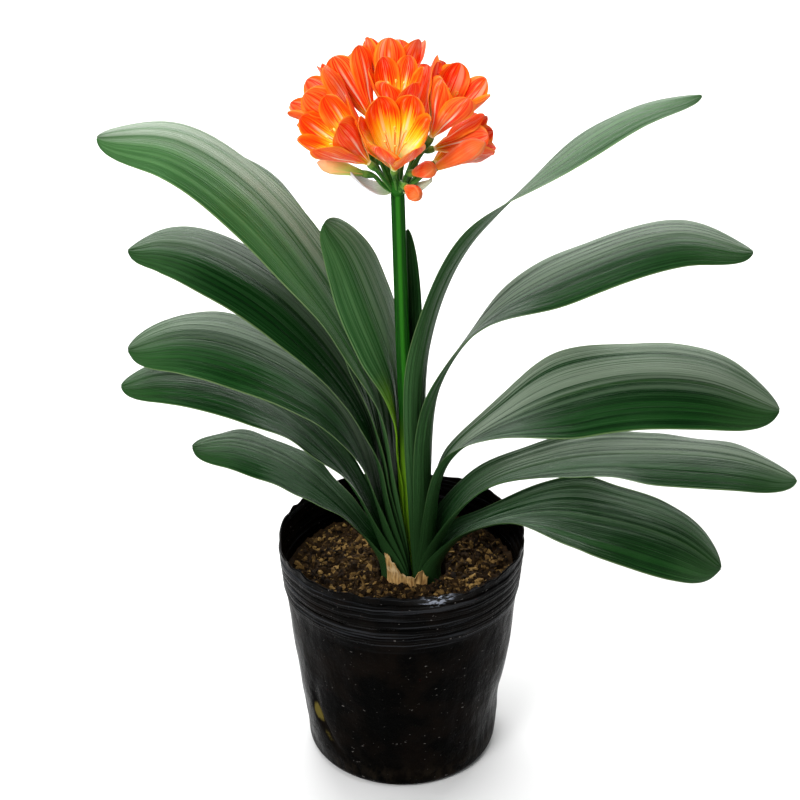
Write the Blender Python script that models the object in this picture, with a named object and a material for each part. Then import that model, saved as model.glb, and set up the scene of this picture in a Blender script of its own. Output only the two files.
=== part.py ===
"""A flowering clivia in a soft black nursery pot, built in metres with +Z up.

The origin is the centre of the pot's underside. The fan of strap leaves lies in the XZ plane and faces -Y.
"""

import math

import bmesh
import bpy
from mathutils import Matrix, Quaternion, Vector

MM = 0.001
SEAT = 0.3 * MM  # the clearance that resting pieces keep

# Pot: a thin tapered bag pot with pressed rings under its rim.
POT_HEIGHT = 180 * MM
RIM_RADIUS = 90 * MM
FOOT_RADIUS = 72 * MM
FOOT_ROUND = 5 * MM
POT_WALL = 1.4 * MM
POT_SIDES = 32
RING_COUNT = 5
RING_PITCH = 7 * MM
RING_TOP = 174 * MM
RING_DEPTH = 1.2 * MM
WALL_LEVELS = (30 * MM, 70 * MM, 110 * MM)  # where the outer wall bends below the rings
INNER_LEVELS = (RING_TOP, 157 * MM, 139 * MM, 110 * MM, 45 * MM)
DRAIN_HOLES = 6
DRAIN_RADIUS = 5 * MM
DRAIN_CIRCLE = 44 * MM
DRAIN_REACH = 4 * MM

# Soil, and the short root stock that the leaves stand on.
SOIL_TOP = 150 * MM
SOIL_HOLE_RADIUS = 25.5 * MM
SOIL_SLACK = 0.5 * MM  # more room between soil and the facets of the wall
SOIL_RINGS = (70 * MM, 57 * MM, 45 * MM, 33 * MM)
STOCK_TOP = 135 * MM
STOCK_FOOT = 112 * MM
STOCK_RADIUS = 24.5 * MM
FAN_X = 8 * MM  # the fan's centre line

# Leaves: the cup is the half angle of the blade's cross arc, from sheath to tip.
LEAF_THICKNESS = 1.2 * MM
LEAF_STEPS = 14
LEAF_ACROSS = 4
SHEATH_CUP = 86
CUPS = [(0.0, SHEATH_CUP), (0.27, 42), (0.5, 8), (0.75, -25), (1.0, -28)]
TIP_FROM = 0.72
TIP_POWER = 2.4
TIP_BLUNT = 0.14
TIP_STEPS = 4  # closer rows round the tip
TIP_SHARE = 0.15
SPINE_STEPS = 200
NECK_SHARE = 0.55  # the neck's width as a share of the widest place
NECK_AT = 0.27
WIDEST_AT = 0.66

# Scape, the flower stalk: half width and half thickness, and its line from stock to umbel.
SCAPE_LINE = [(8, 0, 135), (5, 0, 200), (3, 0, 270), (0, 0, 350), (-3, 0, 447)]
SCAPE_HALF_WIDTH = 5.2 * MM
SCAPE_HALF_DEPTH = 4.2 * MM
SCAPE_SIDES = 12
UMBEL = Vector((-3 * MM, 0.0, 447 * MM))
PEDICEL_RADIUS = 1.5 * MM
OVARY_RADIUS = 2.6 * MM
OVARY_LENGTH = 8 * MM

# Flowers: the tepal's midline as (radius, height), and its half width at the same places.
TEPAL_LINE = [(1.6, 0.0), (6.6, 13.0), (15.8, 29.0), (20.8, 42.0), (21.8, 50.0)]
TEPAL_HALF_WIDTHS = [0.7, 4.8, 10.8, 10.4, 3.4]
OUTER_WHORL_SHIFT = 1.9
OUTER_WHORL_SHARE = 0.86
TEPAL_THICKNESS = 0.7 * MM
THROAT_HEIGHT = 8.0
STAMEN_LENGTH = 36.0
BUD_SIDES = 10
BRACT_RISE = 0.55
BRACT_CUP = 3.0 * MM


def side_of(name):
    """-1 for a leaf of the left rank and 1 for one of the right."""
    return -1 if name.startswith("leaf_left") else 1


# Each leaf: where its sheath sits from the fan's centre, its full width, its midrib after the sheath, and the
# degrees that its blade rolls towards -Y at shares of its length. Millimetres, outermost first on each side.
LEAVES = {
    "leaf_left_1": dict(
        sheath=22.4, width=46, rolls=[(0, 0), (0.5, 14), (1, 16)], widest=0.6,
        line=[(-18, 0, 160), (-43, 0, 200), (-84, 0, 238), (-119, 0, 253), (-150, 0, 251)],
    ),
    "leaf_left_2": dict(
        sheath=20.0, width=54, rolls=[(0, 0), (0.5, 12), (1, 20)],
        line=[(-15, 0, 165), (-40, 0, 230), (-80, 0, 276), (-125, 0, 302), (-165, 0, 308), (-197, 0, 300)],
    ),
    "leaf_left_3": dict(
        sheath=17.6, width=66, rolls=[(0, 0), (0.5, 24), (1, 26)],
        line=[(-12, 0, 170), (-29, 0, 250), (-53, 0, 292), (-106, 0, 328), (-150, 0, 338), (-190, 0, 328)],
    ),
    "leaf_left_4": dict(
        sheath=15.2, width=66, rolls=[(0, 0), (0.5, 22), (1, 22)],
        line=[(-10, 0, 180), (-27, 0, 284), (-77, 0, 362), (-130, 0, 399), (-160, 0, 406), (-184, 0, 402)],
    ),
    "leaf_left_5": dict(
        sheath=12.8, width=56, rolls=[(0, 0), (0.5, 18), (1, 18)],
        line=[(-8, 0, 190), (-23, 2, 296), (-50, 24, 368), (-84, 38, 424), (-136, 44, 462)],
    ),
    "leaf_left_6": dict(
        sheath=10.4, width=68, rolls=[(0, 0), (0.5, 22), (1, 24)],
        line=[(-6, 0, 190), (-18, 0, 300), (-44, 0, 362), (-98, 0, 441), (-148, 0, 476), (-198, 0, 480)],
    ),
    "leaf_left_7": dict(
        sheath=8.0, width=52, rolls=[(0, 0), (0.4, 10), (0.75, 42), (1, 45)], neck=0.42, neck_at=0.35,
        line=[(-1.5, 1, 190), (-3, 3, 250), (-6.5, 4, 310), (-22, 0, 365), (-37, -6, 405), (-51, -12, 426)],
    ),
    "leaf_right_1": dict(
        sheath=20.4, width=68, rolls=[(0, 0), (0.2, -5), (0.6, 28), (1, 34)],
        neck=0.45, neck_at=0.24, widest=0.58,
        line=[(30, 0, 156), (48, 0, 180), (101, 0, 197), (155, 0, 190), (205, 0, 172), (238, 0, 148)],
    ),
    "leaf_right_2": dict(
        sheath=18.0, width=62, rolls=[(0, 0), (0.5, 8), (1, 12)],
        line=[(27, 0, 165), (54, 0, 216), (113, 0, 241), (180, 0, 246), (243, 0, 240), (285, 0, 225)],
    ),
    "leaf_right_3": dict(
        sheath=15.6, width=72, rolls=[(0, 0), (0.3, -12), (0.6, 34), (1, 38)],
        neck=0.45, neck_at=0.3, widest=0.58,
        line=[(24, 0, 175), (34, 0, 240), (83, 0, 278), (150, 0, 302), (210, 0, 302), (267, 0, 281)],
    ),
    "leaf_right_4": dict(
        sheath=13.2, width=58, rolls=[(0, 0), (0.3, -26), (0.46, -14), (0.7, 16), (1, 20)],
        neck=0.5, neck_at=0.4, widest=0.68,
        line=[(20, 0, 190), (25, 0, 297), (63, 0, 356), (133, 0, 397), (186, 0, 412), (236, 0, 401)],
    ),
    "leaf_right_5": dict(
        sheath=10.8, width=46, rolls=[(0, 0), (0.3, -26), (0.62, -24), (0.86, 6), (1, 8)], neck=0.75,
        cups=[(0.0, SHEATH_CUP), (0.3, 40), (0.6, 15), (0.8, -15), (1.0, -20)],
        line=[(16, 0, 200), (16, 0, 325), (40, 0, 399), (98, 0, 461), (150, 0, 496), (192, 0, 508)],
    ),
    "leaf_right_6": dict(
        sheath=8.0, width=15, rolls=[(0, 0), (0.3, 45), (0.6, 80), (1, 80)], neck=0.8,
        cups=[(0.0, SHEATH_CUP), (0.4, 25), (1.0, 5)],
        line=[(14, 3, 170), (10, 9, 230), (7.5, 10, 310), (6, 10, 370), (4, 8, 414)],
    ),
}

# Each flower: its foot from the umbel's centre, the way it faces, its turn, its size and how wide it opens.
BLOOMS = {
    "bloom_front": dict(foot=(-2, -20, 19), way=(0.02, -0.60, 0.80), turn=0, size=1.0, opening=0.95),
    "bloom_left_front": dict(foot=(-18.5, -17.5, 22), way=(-0.62, -0.36, 0.70), turn=10, size=0.95, opening=0.95),
    "bloom_left": dict(foot=(-22, 2, 36), way=(-0.77, 0.02, 0.63), turn=5, size=0.95, opening=0.9),
    "bloom_left_high": dict(foot=(-17, 13, 42), way=(-0.42, 0.30, 0.86), turn=20, size=0.9, opening=0.65),
    "bloom_middle": dict(foot=(-1, 0, 44), way=(0.02, -0.30, 0.95), turn=0, size=0.78, opening=0.95),
    "bloom_top": dict(foot=(-4, 20, 44), way=(0.04, 0.26, 0.96), turn=30, size=0.95, opening=0.9),
    "bloom_right": dict(foot=(22, -12, 38), way=(0.42, -0.24, 0.87), turn=40, size=0.92, opening=0.9),
    "bloom_right_high": dict(foot=(18, 14, 34), way=(0.52, 0.28, 0.81), turn=15, size=0.9, opening=0.85),
    "bloom_right_low": dict(foot=(24, -3, 27), way=(0.95, -0.10, 0.30), turn=47, size=0.76, opening=0.72),
    "bloom_back": dict(foot=(6, 28, 24), way=(0.16, 0.80, 0.58), turn=55, size=0.95, opening=0.9),
    "bloom_back_left": dict(foot=(-22, 20, 18), way=(-0.66, 0.55, 0.50), turn=25, size=0.9, opening=0.9),
    "bloom_back_right": dict(foot=(24, 18, 10), way=(0.72, 0.64, 0.26), turn=40, size=0.85, opening=0.8),
}
BUDS = {
    "bud_right": dict(foot=(26, -19, 20), way=(0.82, -0.24, 0.52), length=36, radius=7.0),
    "bud_right_low": dict(foot=(11, -19, 16), way=(0.56, -0.74, 0.38), length=22, radius=5.8),
    "bud_right_small": dict(foot=(6, -16, 5), way=(0.46, -0.88, -0.06), length=17, radius=5.4),
    "bud_left_pale": dict(foot=(-23, -8, 12), way=(-0.90, -0.22, 0.30), length=31, radius=5.5),
    "bud_back_pale": dict(foot=(-14, 22, 12), way=(-0.50, 0.84, 0.20), length=28, radius=5.0),
}

COLOURS = {
    "leaf": ((0.035, 0.105, 0.04, 1), 0.35),
    "scape": ((0.05, 0.20, 0.03, 1), 0.45),
    "petal": ((0.90, 0.16, 0.02, 1), 0.5),
    "stamen": ((0.90, 0.62, 0.10, 1), 0.6),
    "bud": ((0.85, 0.20, 0.05, 1), 0.5),
    "bract": ((0.62, 0.66, 0.48, 1), 0.6),
    "pot": ((0.008, 0.008, 0.008, 1), 0.32),
    "soil": ((0.10, 0.055, 0.025, 1), 0.95),
    "stock": ((0.40, 0.38, 0.20, 1), 0.7),
    "husk": ((0.50, 0.36, 0.17, 1), 0.75),
}


def clear_scene():
    for old in list(bpy.data.objects):
        bpy.data.objects.remove(old)


def material(name):
    made = bpy.data.materials.get(name)
    if made is None:
        made = bpy.data.materials.new(name)
        made.use_nodes = True
        colour, roughness = COLOURS[name]
        shader = made.node_tree.nodes["Principled BSDF"]
        shader.inputs["Base Color"].default_value = colour
        shader.inputs["Roughness"].default_value = roughness
        shader.inputs["Metallic"].default_value = 0.0
        made.diffuse_color = colour
    return made


def add_object(name, mesh, slot):
    made = bpy.data.objects.new(name, mesh)
    bpy.context.scene.collection.objects.link(made)
    if not mesh.materials:
        mesh.materials.append(material(slot))
    return made


def mesh_from(name, points, faces):
    """A mesh with its normals out, shaded smooth up to 40 degrees."""
    mesh = bpy.data.meshes.new(name)
    mesh.from_pydata([tuple(p) for p in points], [], faces)
    shell = bmesh.new()
    shell.from_mesh(mesh)
    bmesh.ops.recalc_face_normals(shell, faces=shell.faces)
    shell.to_mesh(mesh)
    shell.free()
    mesh.shade_smooth()
    mesh.set_sharp_from_angle(angle=math.radians(40))
    return mesh


def smoothstep(x):
    x = min(max(x, 0.0), 1.0)
    return x * x * (3 - 2 * x)


def along(stations, s):
    """The value at s of a table of (share, value) pairs, eased between them."""
    value = stations[0][1]
    for (s0, v0), (s1, v1) in zip(stations, stations[1:]):
        value += (v1 - v0) * smoothstep((s - s0) / (s1 - s0))
    return value


def curve_through(points, count):
    """count + 1 points, evenly spaced along a centripetal spline through the given points."""
    known = [Vector(p) for p in points]
    known = [2 * known[0] - known[1], *known, 2 * known[-1] - known[-2]]
    dense = []
    for p0, p1, p2, p3 in zip(known, known[1:], known[2:], known[3:]):
        t1 = (p1 - p0).length ** 0.5
        t2 = t1 + (p2 - p1).length ** 0.5
        t3 = t2 + (p3 - p2).length ** 0.5
        for k in range(40):
            t = t1 + (t2 - t1) * k / 40
            a1 = p0.lerp(p1, t / t1)
            a2 = p1.lerp(p2, (t - t1) / (t2 - t1))
            a3 = p2.lerp(p3, (t - t2) / (t3 - t2))
            b1 = a1.lerp(a2, t / t2)
            b2 = a2.lerp(a3, (t - t1) / (t3 - t1))
            dense.append(b1.lerp(b2, (t - t1) / (t2 - t1)))
    dense.append(known[-2])
    run = [0.0]
    for a, b in zip(dense, dense[1:]):
        run.append(run[-1] + (b - a).length)
    spaced, k = [], 0
    for i in range(count + 1):
        goal = run[-1] * i / count
        while k < len(run) - 2 and run[k + 1] < goal:
            k += 1
        spaced.append(dense[k].lerp(dense[k + 1], (goal - run[k]) / max(run[k + 1] - run[k], 1e-9)))
    return spaced


def tangents(line):
    return [
        (line[min(i + 1, len(line) - 1)] - line[max(i - 1, 0)]).normalized() for i in range(len(line))
    ]


def loft_slab(rows, normals, thickness):
    """A closed slab of the given thickness about a grid of points, split into like triangles on both faces."""
    steps, across = len(rows), len(rows[0])
    points = []
    for lift in (0.5, -0.5):
        for row, row_normals in zip(rows, normals):
            points += [p + n * thickness * lift for p, n in zip(row, row_normals)]
    under = steps * across
    faces = []
    for i in range(steps - 1):
        for j in range(across - 1):
            a, b = i * across + j, i * across + j + 1
            c, d = b + across, a + across
            faces += [(a, b, c), (a, c, d), (under + a, under + c, under + b), (under + a, under + d, under + c)]
    rim = [j for j in range(across)]
    rim += [i * across + across - 1 for i in range(1, steps)]
    rim += [(steps - 1) * across + j for j in range(across - 2, -1, -1)]
    rim += [i * across for i in range(steps - 2, 0, -1)]
    for a, b in zip(rim, rim[1:] + rim[:1]):
        faces += [(a, under + a, under + b), (a, under + b, b)]
    return points, faces


def grid_normals(rows):
    """The surface normal at each point of a grid."""
    normals = []
    for i, row in enumerate(rows):
        line = []
        for j in range(len(row)):
            along_it = rows[min(i + 1, len(rows) - 1)][j] - rows[max(i - 1, 0)][j]
            across_it = row[min(j + 1, len(row) - 1)] - row[max(j - 1, 0)]
            line.append(along_it.cross(across_it).normalized())
        normals.append(line)
    return normals


def row_shares(steps):
    """The rows' places along a leaf as shares of its length, closer together round the tip."""
    body = steps - TIP_STEPS
    shares = [(1 - TIP_SHARE) * i / body for i in range(body)]
    return shares + [1 - TIP_SHARE * (1 - k / TIP_STEPS) ** 1.6 for k in range(TIP_STEPS + 1)]


def leaf_half_width(leaf, s):
    """The blade's half width at a share s of its length."""
    widest = leaf["width"] / 2
    stations = [
        (0.0, leaf["sheath"] * math.radians(SHEATH_CUP)),
        (leaf.get("neck_at", NECK_AT), leaf.get("neck", NECK_SHARE) * widest),
        (leaf.get("widest", WIDEST_AT), widest),
    ]
    taper = max((s - TIP_FROM) / (1 - TIP_FROM), 0.0) ** TIP_POWER
    return along(stations, s) * max(math.sqrt(max(1 - taper, 0.0)), TIP_BLUNT)


def leaf_rows(name, steps, across):
    """The points of a leaf's middle surface, row by row from sheath to tip, in metres."""
    leaf, side = LEAVES[name], side_of(name)
    start = (FAN_X / MM + side * leaf["sheath"], 0, (STOCK_TOP + SEAT) / MM)
    spine = curve_through([start, *leaf["line"]], SPINE_STEPS)
    headings = [Vector((0, 0, 1)), *tangents(spine)[1:]]
    rows = []
    for s in row_shares(steps):
        centre, forward = spine[round(s * SPINE_STEPS)], headings[round(s * SPINE_STEPS)]
        level = Vector((0, side, 0))
        level = (level - forward * level.dot(forward)).normalized()
        inward = forward.cross(level)
        roll = math.radians(along(leaf["rolls"], s)) * side
        level, inward = (
            level * math.cos(roll) + inward * math.sin(roll),
            inward * math.cos(roll) - level * math.sin(roll),
        )
        cup = math.radians(along(leaf.get("cups", CUPS), s)) or 1e-3
        half = leaf_half_width(leaf, s)
        row = []
        for j in range(across + 1):
            angle = cup * (2 * j / across - 1)
            bend = half / cup
            point = centre + level * bend * math.sin(angle) + inward * bend * (1 - math.cos(angle))
            row.append(point * MM)
        rows.append(row)
    return rows


def add_leaf(name):
    rows = leaf_rows(name, LEAF_STEPS, LEAF_ACROSS)
    points, faces = loft_slab(rows, grid_normals(rows), LEAF_THICKNESS)
    return add_object(name, mesh_from(name, points, faces), "leaf")


def pot_dent(angle, height):
    """How far the soft wall stands in or out of round."""
    low = 1 - height / POT_HEIGHT
    wave = 1.3 * math.sin(2 * angle + 0.6) + 0.9 * math.sin(3 * angle + 2.0 + 9 * height)
    crease = 1.1 * math.sin(5 * angle + 30 * height) * low
    return (wave * 0.6 + crease) * MM * min(height / (20 * MM), 1.0)


def rim_lift(angle):
    """The rim's uneven height."""
    return (1.2 * math.sin(3 * angle + 0.4) + 0.7 * math.sin(7 * angle)) * MM


def pot_radius(height):
    return FOOT_RADIUS + (RIM_RADIUS - FOOT_RADIUS) * height / POT_HEIGHT


def ring_relief(height):
    """The pressed rings under the rim: each stands out and falls back over one pitch."""
    place = (RING_TOP - height) / RING_PITCH
    if not 0 <= place <= RING_COUNT:
        return 0.0
    return RING_DEPTH * math.sin(math.pi * (place % 1.0))


def wall_ring(height, inset, relief=True):
    """One turn of the pot's wall, inset from its outer face."""
    ring = []
    for k in range(POT_SIDES):
        angle = 2 * math.pi * k / POT_SIDES
        radius = pot_radius(height) - inset + pot_dent(angle, height)
        radius += ring_relief(height) if relief else 0.0
        lift = rim_lift(angle) * smoothstep((height / POT_HEIGHT - 0.8) / 0.2)
        ring.append(Vector((radius * math.cos(angle), radius * math.sin(angle), height + lift)))
    return ring


def ring_heights():
    """The heights that draw the pressed rings, from the lowest up, each with its hollow and its crest."""
    return [RING_TOP - RING_PITCH * k / 2 for k in range(2 * RING_COUNT, -1, -1)]


def lathe(rings):
    """Points and faces of a stack of rings, closed by a fan at each end."""
    points = [p for ring in rings for p in ring]
    sides = len(rings[0])
    faces = []
    for i in range(len(rings) - 1):
        for k in range(sides):
            a, b = i * sides + k, i * sides + (k + 1) % sides
            faces += [(a, b, b + sides), (a, b + sides, a + sides)]
    for ring, base in ((rings[0], 0), (rings[-1], (len(rings) - 1) * sides)):
        if sides == 3:
            faces.append((base, base + 1, base + 2))
            continue
        points.append(sum(ring, Vector()) / sides)
        hub = len(points) - 1
        faces += [(base + k, base + (k + 1) % sides, hub) for k in range(sides)]
    return points, faces


def flat_ring(radius, height, centre=(0.0, 0.0), sides=POT_SIDES):
    return [
        Vector((centre[0] + radius * math.cos(a), centre[1] + radius * math.sin(a), height))
        for a in (2 * math.pi * k / sides for k in range(sides))
    ]


def add_pot():
    outer_heights = [FOOT_ROUND, *WALL_LEVELS, *ring_heights(), POT_HEIGHT]
    rings = [flat_ring(FOOT_RADIUS - FOOT_ROUND, 0.0)]
    rings += [wall_ring(h, 0.0) for h in outer_heights]
    rings += [wall_ring(POT_HEIGHT, POT_WALL)]
    rings += [wall_ring(h, POT_WALL) for h in INNER_LEVELS]
    rings += [wall_ring(FOOT_ROUND, POT_WALL), flat_ring(FOOT_RADIUS - FOOT_ROUND - POT_WALL, POT_WALL)]
    pot = add_object("pot", mesh_from("pot", *lathe(rings)), "pot")
    drills = bpy.data.collections.new("drain_drills")
    bpy.context.scene.collection.children.link(drills)
    for k in range(DRAIN_HOLES):
        angle = 2 * math.pi * k / DRAIN_HOLES
        centre = (DRAIN_CIRCLE * math.cos(angle), DRAIN_CIRCLE * math.sin(angle))
        stack = [flat_ring(DRAIN_RADIUS, h, centre, 8) for h in (-DRAIN_REACH, POT_WALL + DRAIN_REACH)]
        drill = bpy.data.objects.new(f"drain_drill_{k}", mesh_from("drain_drill", *lathe(stack)))
        drills.objects.link(drill)
    return apply_boolean(pot, drills, "DIFFERENCE")


def apply_boolean(target, group, operation):
    """Cuts or joins a collection's objects into target, then removes them."""
    step = target.modifiers.new("join", "BOOLEAN")
    step.operation = operation
    step.operand_type = "COLLECTION"
    step.collection = group
    graph = bpy.context.evaluated_depsgraph_get()
    done = bpy.data.meshes.new_from_object(target.evaluated_get(graph))
    target.modifiers.remove(step)
    target.data = done
    for old in list(group.objects):
        bpy.data.objects.remove(old)
    bpy.data.collections.remove(group)
    done.shade_smooth()
    done.set_sharp_from_angle(angle=math.radians(40))
    return target


def join_shapes(name, shapes, slot):
    """One solid from several closed shapes, each given as points and faces."""
    whole = add_object(name, mesh_from(name, *shapes[0]), slot)
    group = bpy.data.collections.new(name + "_shapes")
    bpy.context.scene.collection.children.link(group)
    for i, shape in enumerate(shapes[1:]):
        group.objects.link(bpy.data.objects.new(f"{name}_{i}", mesh_from(name, *shape)))
    return apply_boolean(whole, group, "UNION")


def soil_height(radius, angle):
    """The crumbly top of the soil, a little lower at the wall."""
    x, y = radius * math.cos(angle) / MM, radius * math.sin(angle) / MM
    lumps = 1.6 * math.sin(0.31 * x + 1.0) * math.cos(0.27 * y) + 1.1 * math.sin(0.55 * x - 0.42 * y + 2.0)
    return SOIL_TOP + lumps * MM - 3 * MM * (radius / RIM_RADIUS) ** 2


def add_soil():
    gap = POT_WALL + SEAT + SOIL_SLACK
    bottom = POT_WALL + SEAT
    side_heights = [FOOT_ROUND + bottom, *INNER_LEVELS[:-3:-1]]
    rings = [flat_ring(FOOT_RADIUS - FOOT_ROUND - gap, bottom)]
    rings += [wall_ring(h, gap, relief=False) for h in side_heights]
    top_radius = pot_radius(SOIL_TOP) - gap - RING_DEPTH
    for radius in (top_radius, *SOIL_RINGS):
        rings.append([soil_ring_point(radius, k) for k in range(POT_SIDES)])
    hole = (FAN_X, 0.0)
    rim = flat_ring(SOIL_HOLE_RADIUS, SOIL_TOP - 1 * MM, hole)
    rings += [rim, flat_ring(SOIL_HOLE_RADIUS, STOCK_FOOT - SEAT, hole)]
    return add_object("soil", mesh_from("soil", *lathe(rings)), "soil")


def soil_ring_point(radius, k):
    """A point of the soil's top, whose rings close in on the plant's foot."""
    angle = 2 * math.pi * k / POT_SIDES
    shift = FAN_X * smoothstep((72 * MM - radius) / (40 * MM))
    height = soil_height(radius, angle)
    return Vector((shift + radius * math.cos(angle), radius * math.sin(angle), height))


def add_root_stock():
    sides = 12
    centre = (FAN_X, 0.0)
    levels = [(0.7, STOCK_FOOT), (0.95, STOCK_FOOT + 5 * MM), (1.0, STOCK_TOP - 6 * MM), (1.0, STOCK_TOP)]
    rings = [flat_ring(STOCK_RADIUS * share, height, centre, sides) for share, height in levels]
    return add_object("root_stock", mesh_from("root_stock", *lathe(rings)), "stock")


def tube(line, radii, sides, flatten=1.0):
    """A closed tube of the given radii along a line. The first axis across it lies along X where it can."""
    rings = []
    for centre, forward, radius in zip(line, tangents(line), radii):
        first = Vector((1, 0, 0)) - forward * forward.x
        if first.length < 0.2:
            first = Vector((0, 1, 0)) - forward * forward.y
        first.normalize()
        second = forward.cross(first)
        rings.append(
            [
                centre + first * radius * math.cos(a) + second * radius * flatten * math.sin(a)
                for a in (2 * math.pi * k / sides for k in range(sides))
            ]
        )
    return lathe(rings)


def head_entries():
    """Every flower and bud."""
    return [*BLOOMS.values(), *BUDS.values()]


def foot_of(entry):
    """Where a flower or bud starts, and the way it faces."""
    return UMBEL + Vector(entry["foot"]) * MM, Vector(entry["way"]).normalized()


def pedicel(entry):
    """A flower's green stalk, bending up into the ovary that swells under the flower."""
    end, way = foot_of(entry)
    end = end - way * SEAT
    start = UMBEL + Vector((way.x * 2 * MM, way.y * 2 * MM, -5 * MM))
    neck = end - way * OVARY_LENGTH
    bend = start.lerp(neck, 0.55) + (neck - UMBEL).cross(way).cross(way).normalized() * 0.8 * MM
    line = [start, bend, neck, end - way * 0.4 * OVARY_LENGTH, end]
    radii = [PEDICEL_RADIUS, PEDICEL_RADIUS, PEDICEL_RADIUS, OVARY_RADIUS, 0.6 * OVARY_RADIUS]
    return tube(line, radii, 5)


def add_scape():
    line = [p * MM for p in curve_through(SCAPE_LINE, 8)]
    line[0] = line[0] + Vector((0, 0, SEAT))
    widths = [SCAPE_HALF_WIDTH * (1.06 - 0.02 * i) for i in range(len(line))]
    shapes = [tube(line, widths, SCAPE_SIDES, SCAPE_HALF_DEPTH / SCAPE_HALF_WIDTH)]
    knob = [UMBEL + Vector((0, 0, z * MM)) for z in (-8, -3, 2, 5)]
    shapes.append(tube(knob, [r * MM for r in (4.2, 6.0, 5.0, 2.0)], 10))
    shapes += [pedicel(entry) for entry in head_entries()]
    return join_shapes("scape", shapes, "scape")


def tepal(turn, shift, share, opening):
    """One tepal, standing on its flower's axis at the given turn. Millimetres."""
    rows = []
    for (radius, height), half in zip(TEPAL_LINE, TEPAL_HALF_WIDTHS):
        opened = 1 + (opening - 1) * smoothstep(height / 20)
        out = radius * opened + shift * smoothstep(height / 12)
        bend = max(out * (1.15 if shift else 0.95), 2.0)
        spread = half * share / bend
        row = []
        for side in (-1, 0, 1):
            angle = spread * side
            across = bend * math.sin(angle)
            inward = bend * (1 - math.cos(angle))
            row.append(Vector((out - inward, across, height)))
        rows.append(row)
    spin = Matrix.Rotation(turn, 3, "Z")
    rows = [[spin @ p for p in row] for row in rows]
    return loft_slab(rows, grid_normals(rows), TEPAL_THICKNESS / MM)


def scaled(shape, factor):
    points, faces = shape
    return [p * factor for p in points], faces


def bloom_shapes(opening):
    """Two whorls of three tepals on a short closed tube."""
    core = [Vector((0, 0, z)) for z in (0.0, THROAT_HEIGHT)]
    shapes = [tube(core, (2.4, 4.2), 3)]
    for k in range(6):
        outer = k % 2
        turn = 2 * math.pi * k / 6
        share = OUTER_WHORL_SHARE if outer else 1.0
        shapes.append(tepal(turn, OUTER_WHORL_SHIFT * outer, share, opening))
    return [scaled(shape, MM) for shape in shapes]


def stamen_shapes(opening):
    """Six stamens and the style on a small disc, which sits on the floor of the throat."""
    floor = THROAT_HEIGHT + 0.4
    disc = [Vector((0, 0, z)) for z in (floor, floor + 1.2)]
    shapes = [tube(disc, (2.6, 2.4), 3)]
    for k in range(7):
        reach = 0.0 if k == 6 else 7.5 * opening
        angle = 2 * math.pi * (k + 0.5) / 6
        out = Vector((math.cos(angle), math.sin(angle), 0))
        top = STAMEN_LENGTH + (4 if k == 6 else 0)
        line = [out * (reach * f) + Vector((0, 0, h)) for f, h in stamen_rise(floor, top)]
        shapes.append(tube(line, (0.45, 1.0), 3))
    return [scaled(shape, MM) for shape in shapes]


def stamen_rise(floor, top):
    """The shares of reach and the heights of a filament's foot and its tip."""
    return ((0.12, floor + 0.4), (1.0, top))


def facing(way, turn):
    """The rotation that stands +Z along way, turned about it."""
    return Vector(way).to_track_quat("Z", "Y") @ Quaternion((0, 0, 1), math.radians(turn))


def stand(part, entry, size):
    """Puts a flower or bud on its stalk."""
    foot, way = foot_of(entry)
    part.location = foot
    part.rotation_mode = "QUATERNION"
    part.rotation_quaternion = facing(way, entry.get("turn", 0))
    part.scale = (size, size, size)


def add_flowers():
    for name, entry in BLOOMS.items():
        bloom = join_shapes(name, bloom_shapes(entry["opening"]), "petal")
        stamens = join_shapes("stamens_" + name, stamen_shapes(entry["opening"]), "stamen")
        stand(bloom, entry, entry["size"])
        stand(stamens, entry, entry["size"])


def add_buds():
    profile = [(0.0, 0.40), (0.2, 0.62), (0.5, 0.92), (0.72, 1.0), (0.9, 0.66), (1.0, 0.12)]
    for name, bud in BUDS.items():
        rings = []
        for s, share in profile:
            ring = []
            for k in range(BUD_SIDES):
                ridge = 1.0 - 0.10 * (k % 2) * math.sin(math.pi * s)
                angle = 2 * math.pi * k / BUD_SIDES
                radius = share * ridge * bud["radius"] * MM
                ring.append(Vector((radius * math.cos(angle), radius * math.sin(angle), s * bud["length"] * MM)))
            rings.append(ring)
        stand(add_object(name, mesh_from(name, *lathe(rings)), "bud"), bud, 1.0)


def add_bracts():
    """The papery bracts of the spathe, standing out under the flowers."""
    for k, (angle, length, half) in enumerate(((206, 27, 6.0), (-32, 20, 5.0), (95, 26, 5.5))):
        out = Vector((math.cos(math.radians(angle)), math.sin(math.radians(angle)), 0))
        across = Vector((-out.y, out.x, 0))
        foot = UMBEL + out * (6.0 * MM + SEAT + 1.4 * MM) + Vector((0, 0, -6 * MM))
        rows = []
        for i in range(6):
            s = i / 5
            centre = foot + out * length * MM * s + Vector((0, 0, length * BRACT_RISE * s * s * MM))
            width = half * MM * max(math.sin(math.pi * (0.2 + 0.78 * s)), 0.12)
            rows.append([centre + across * width * t + Vector((0, 0, BRACT_CUP * t * t)) for t in (-1, 0, 1)])
        name = f"bract_{k + 1}"
        add_object(name, mesh_from(name, *loft_slab(rows, grid_normals(rows), 0.6 * MM)), "bract")


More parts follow.
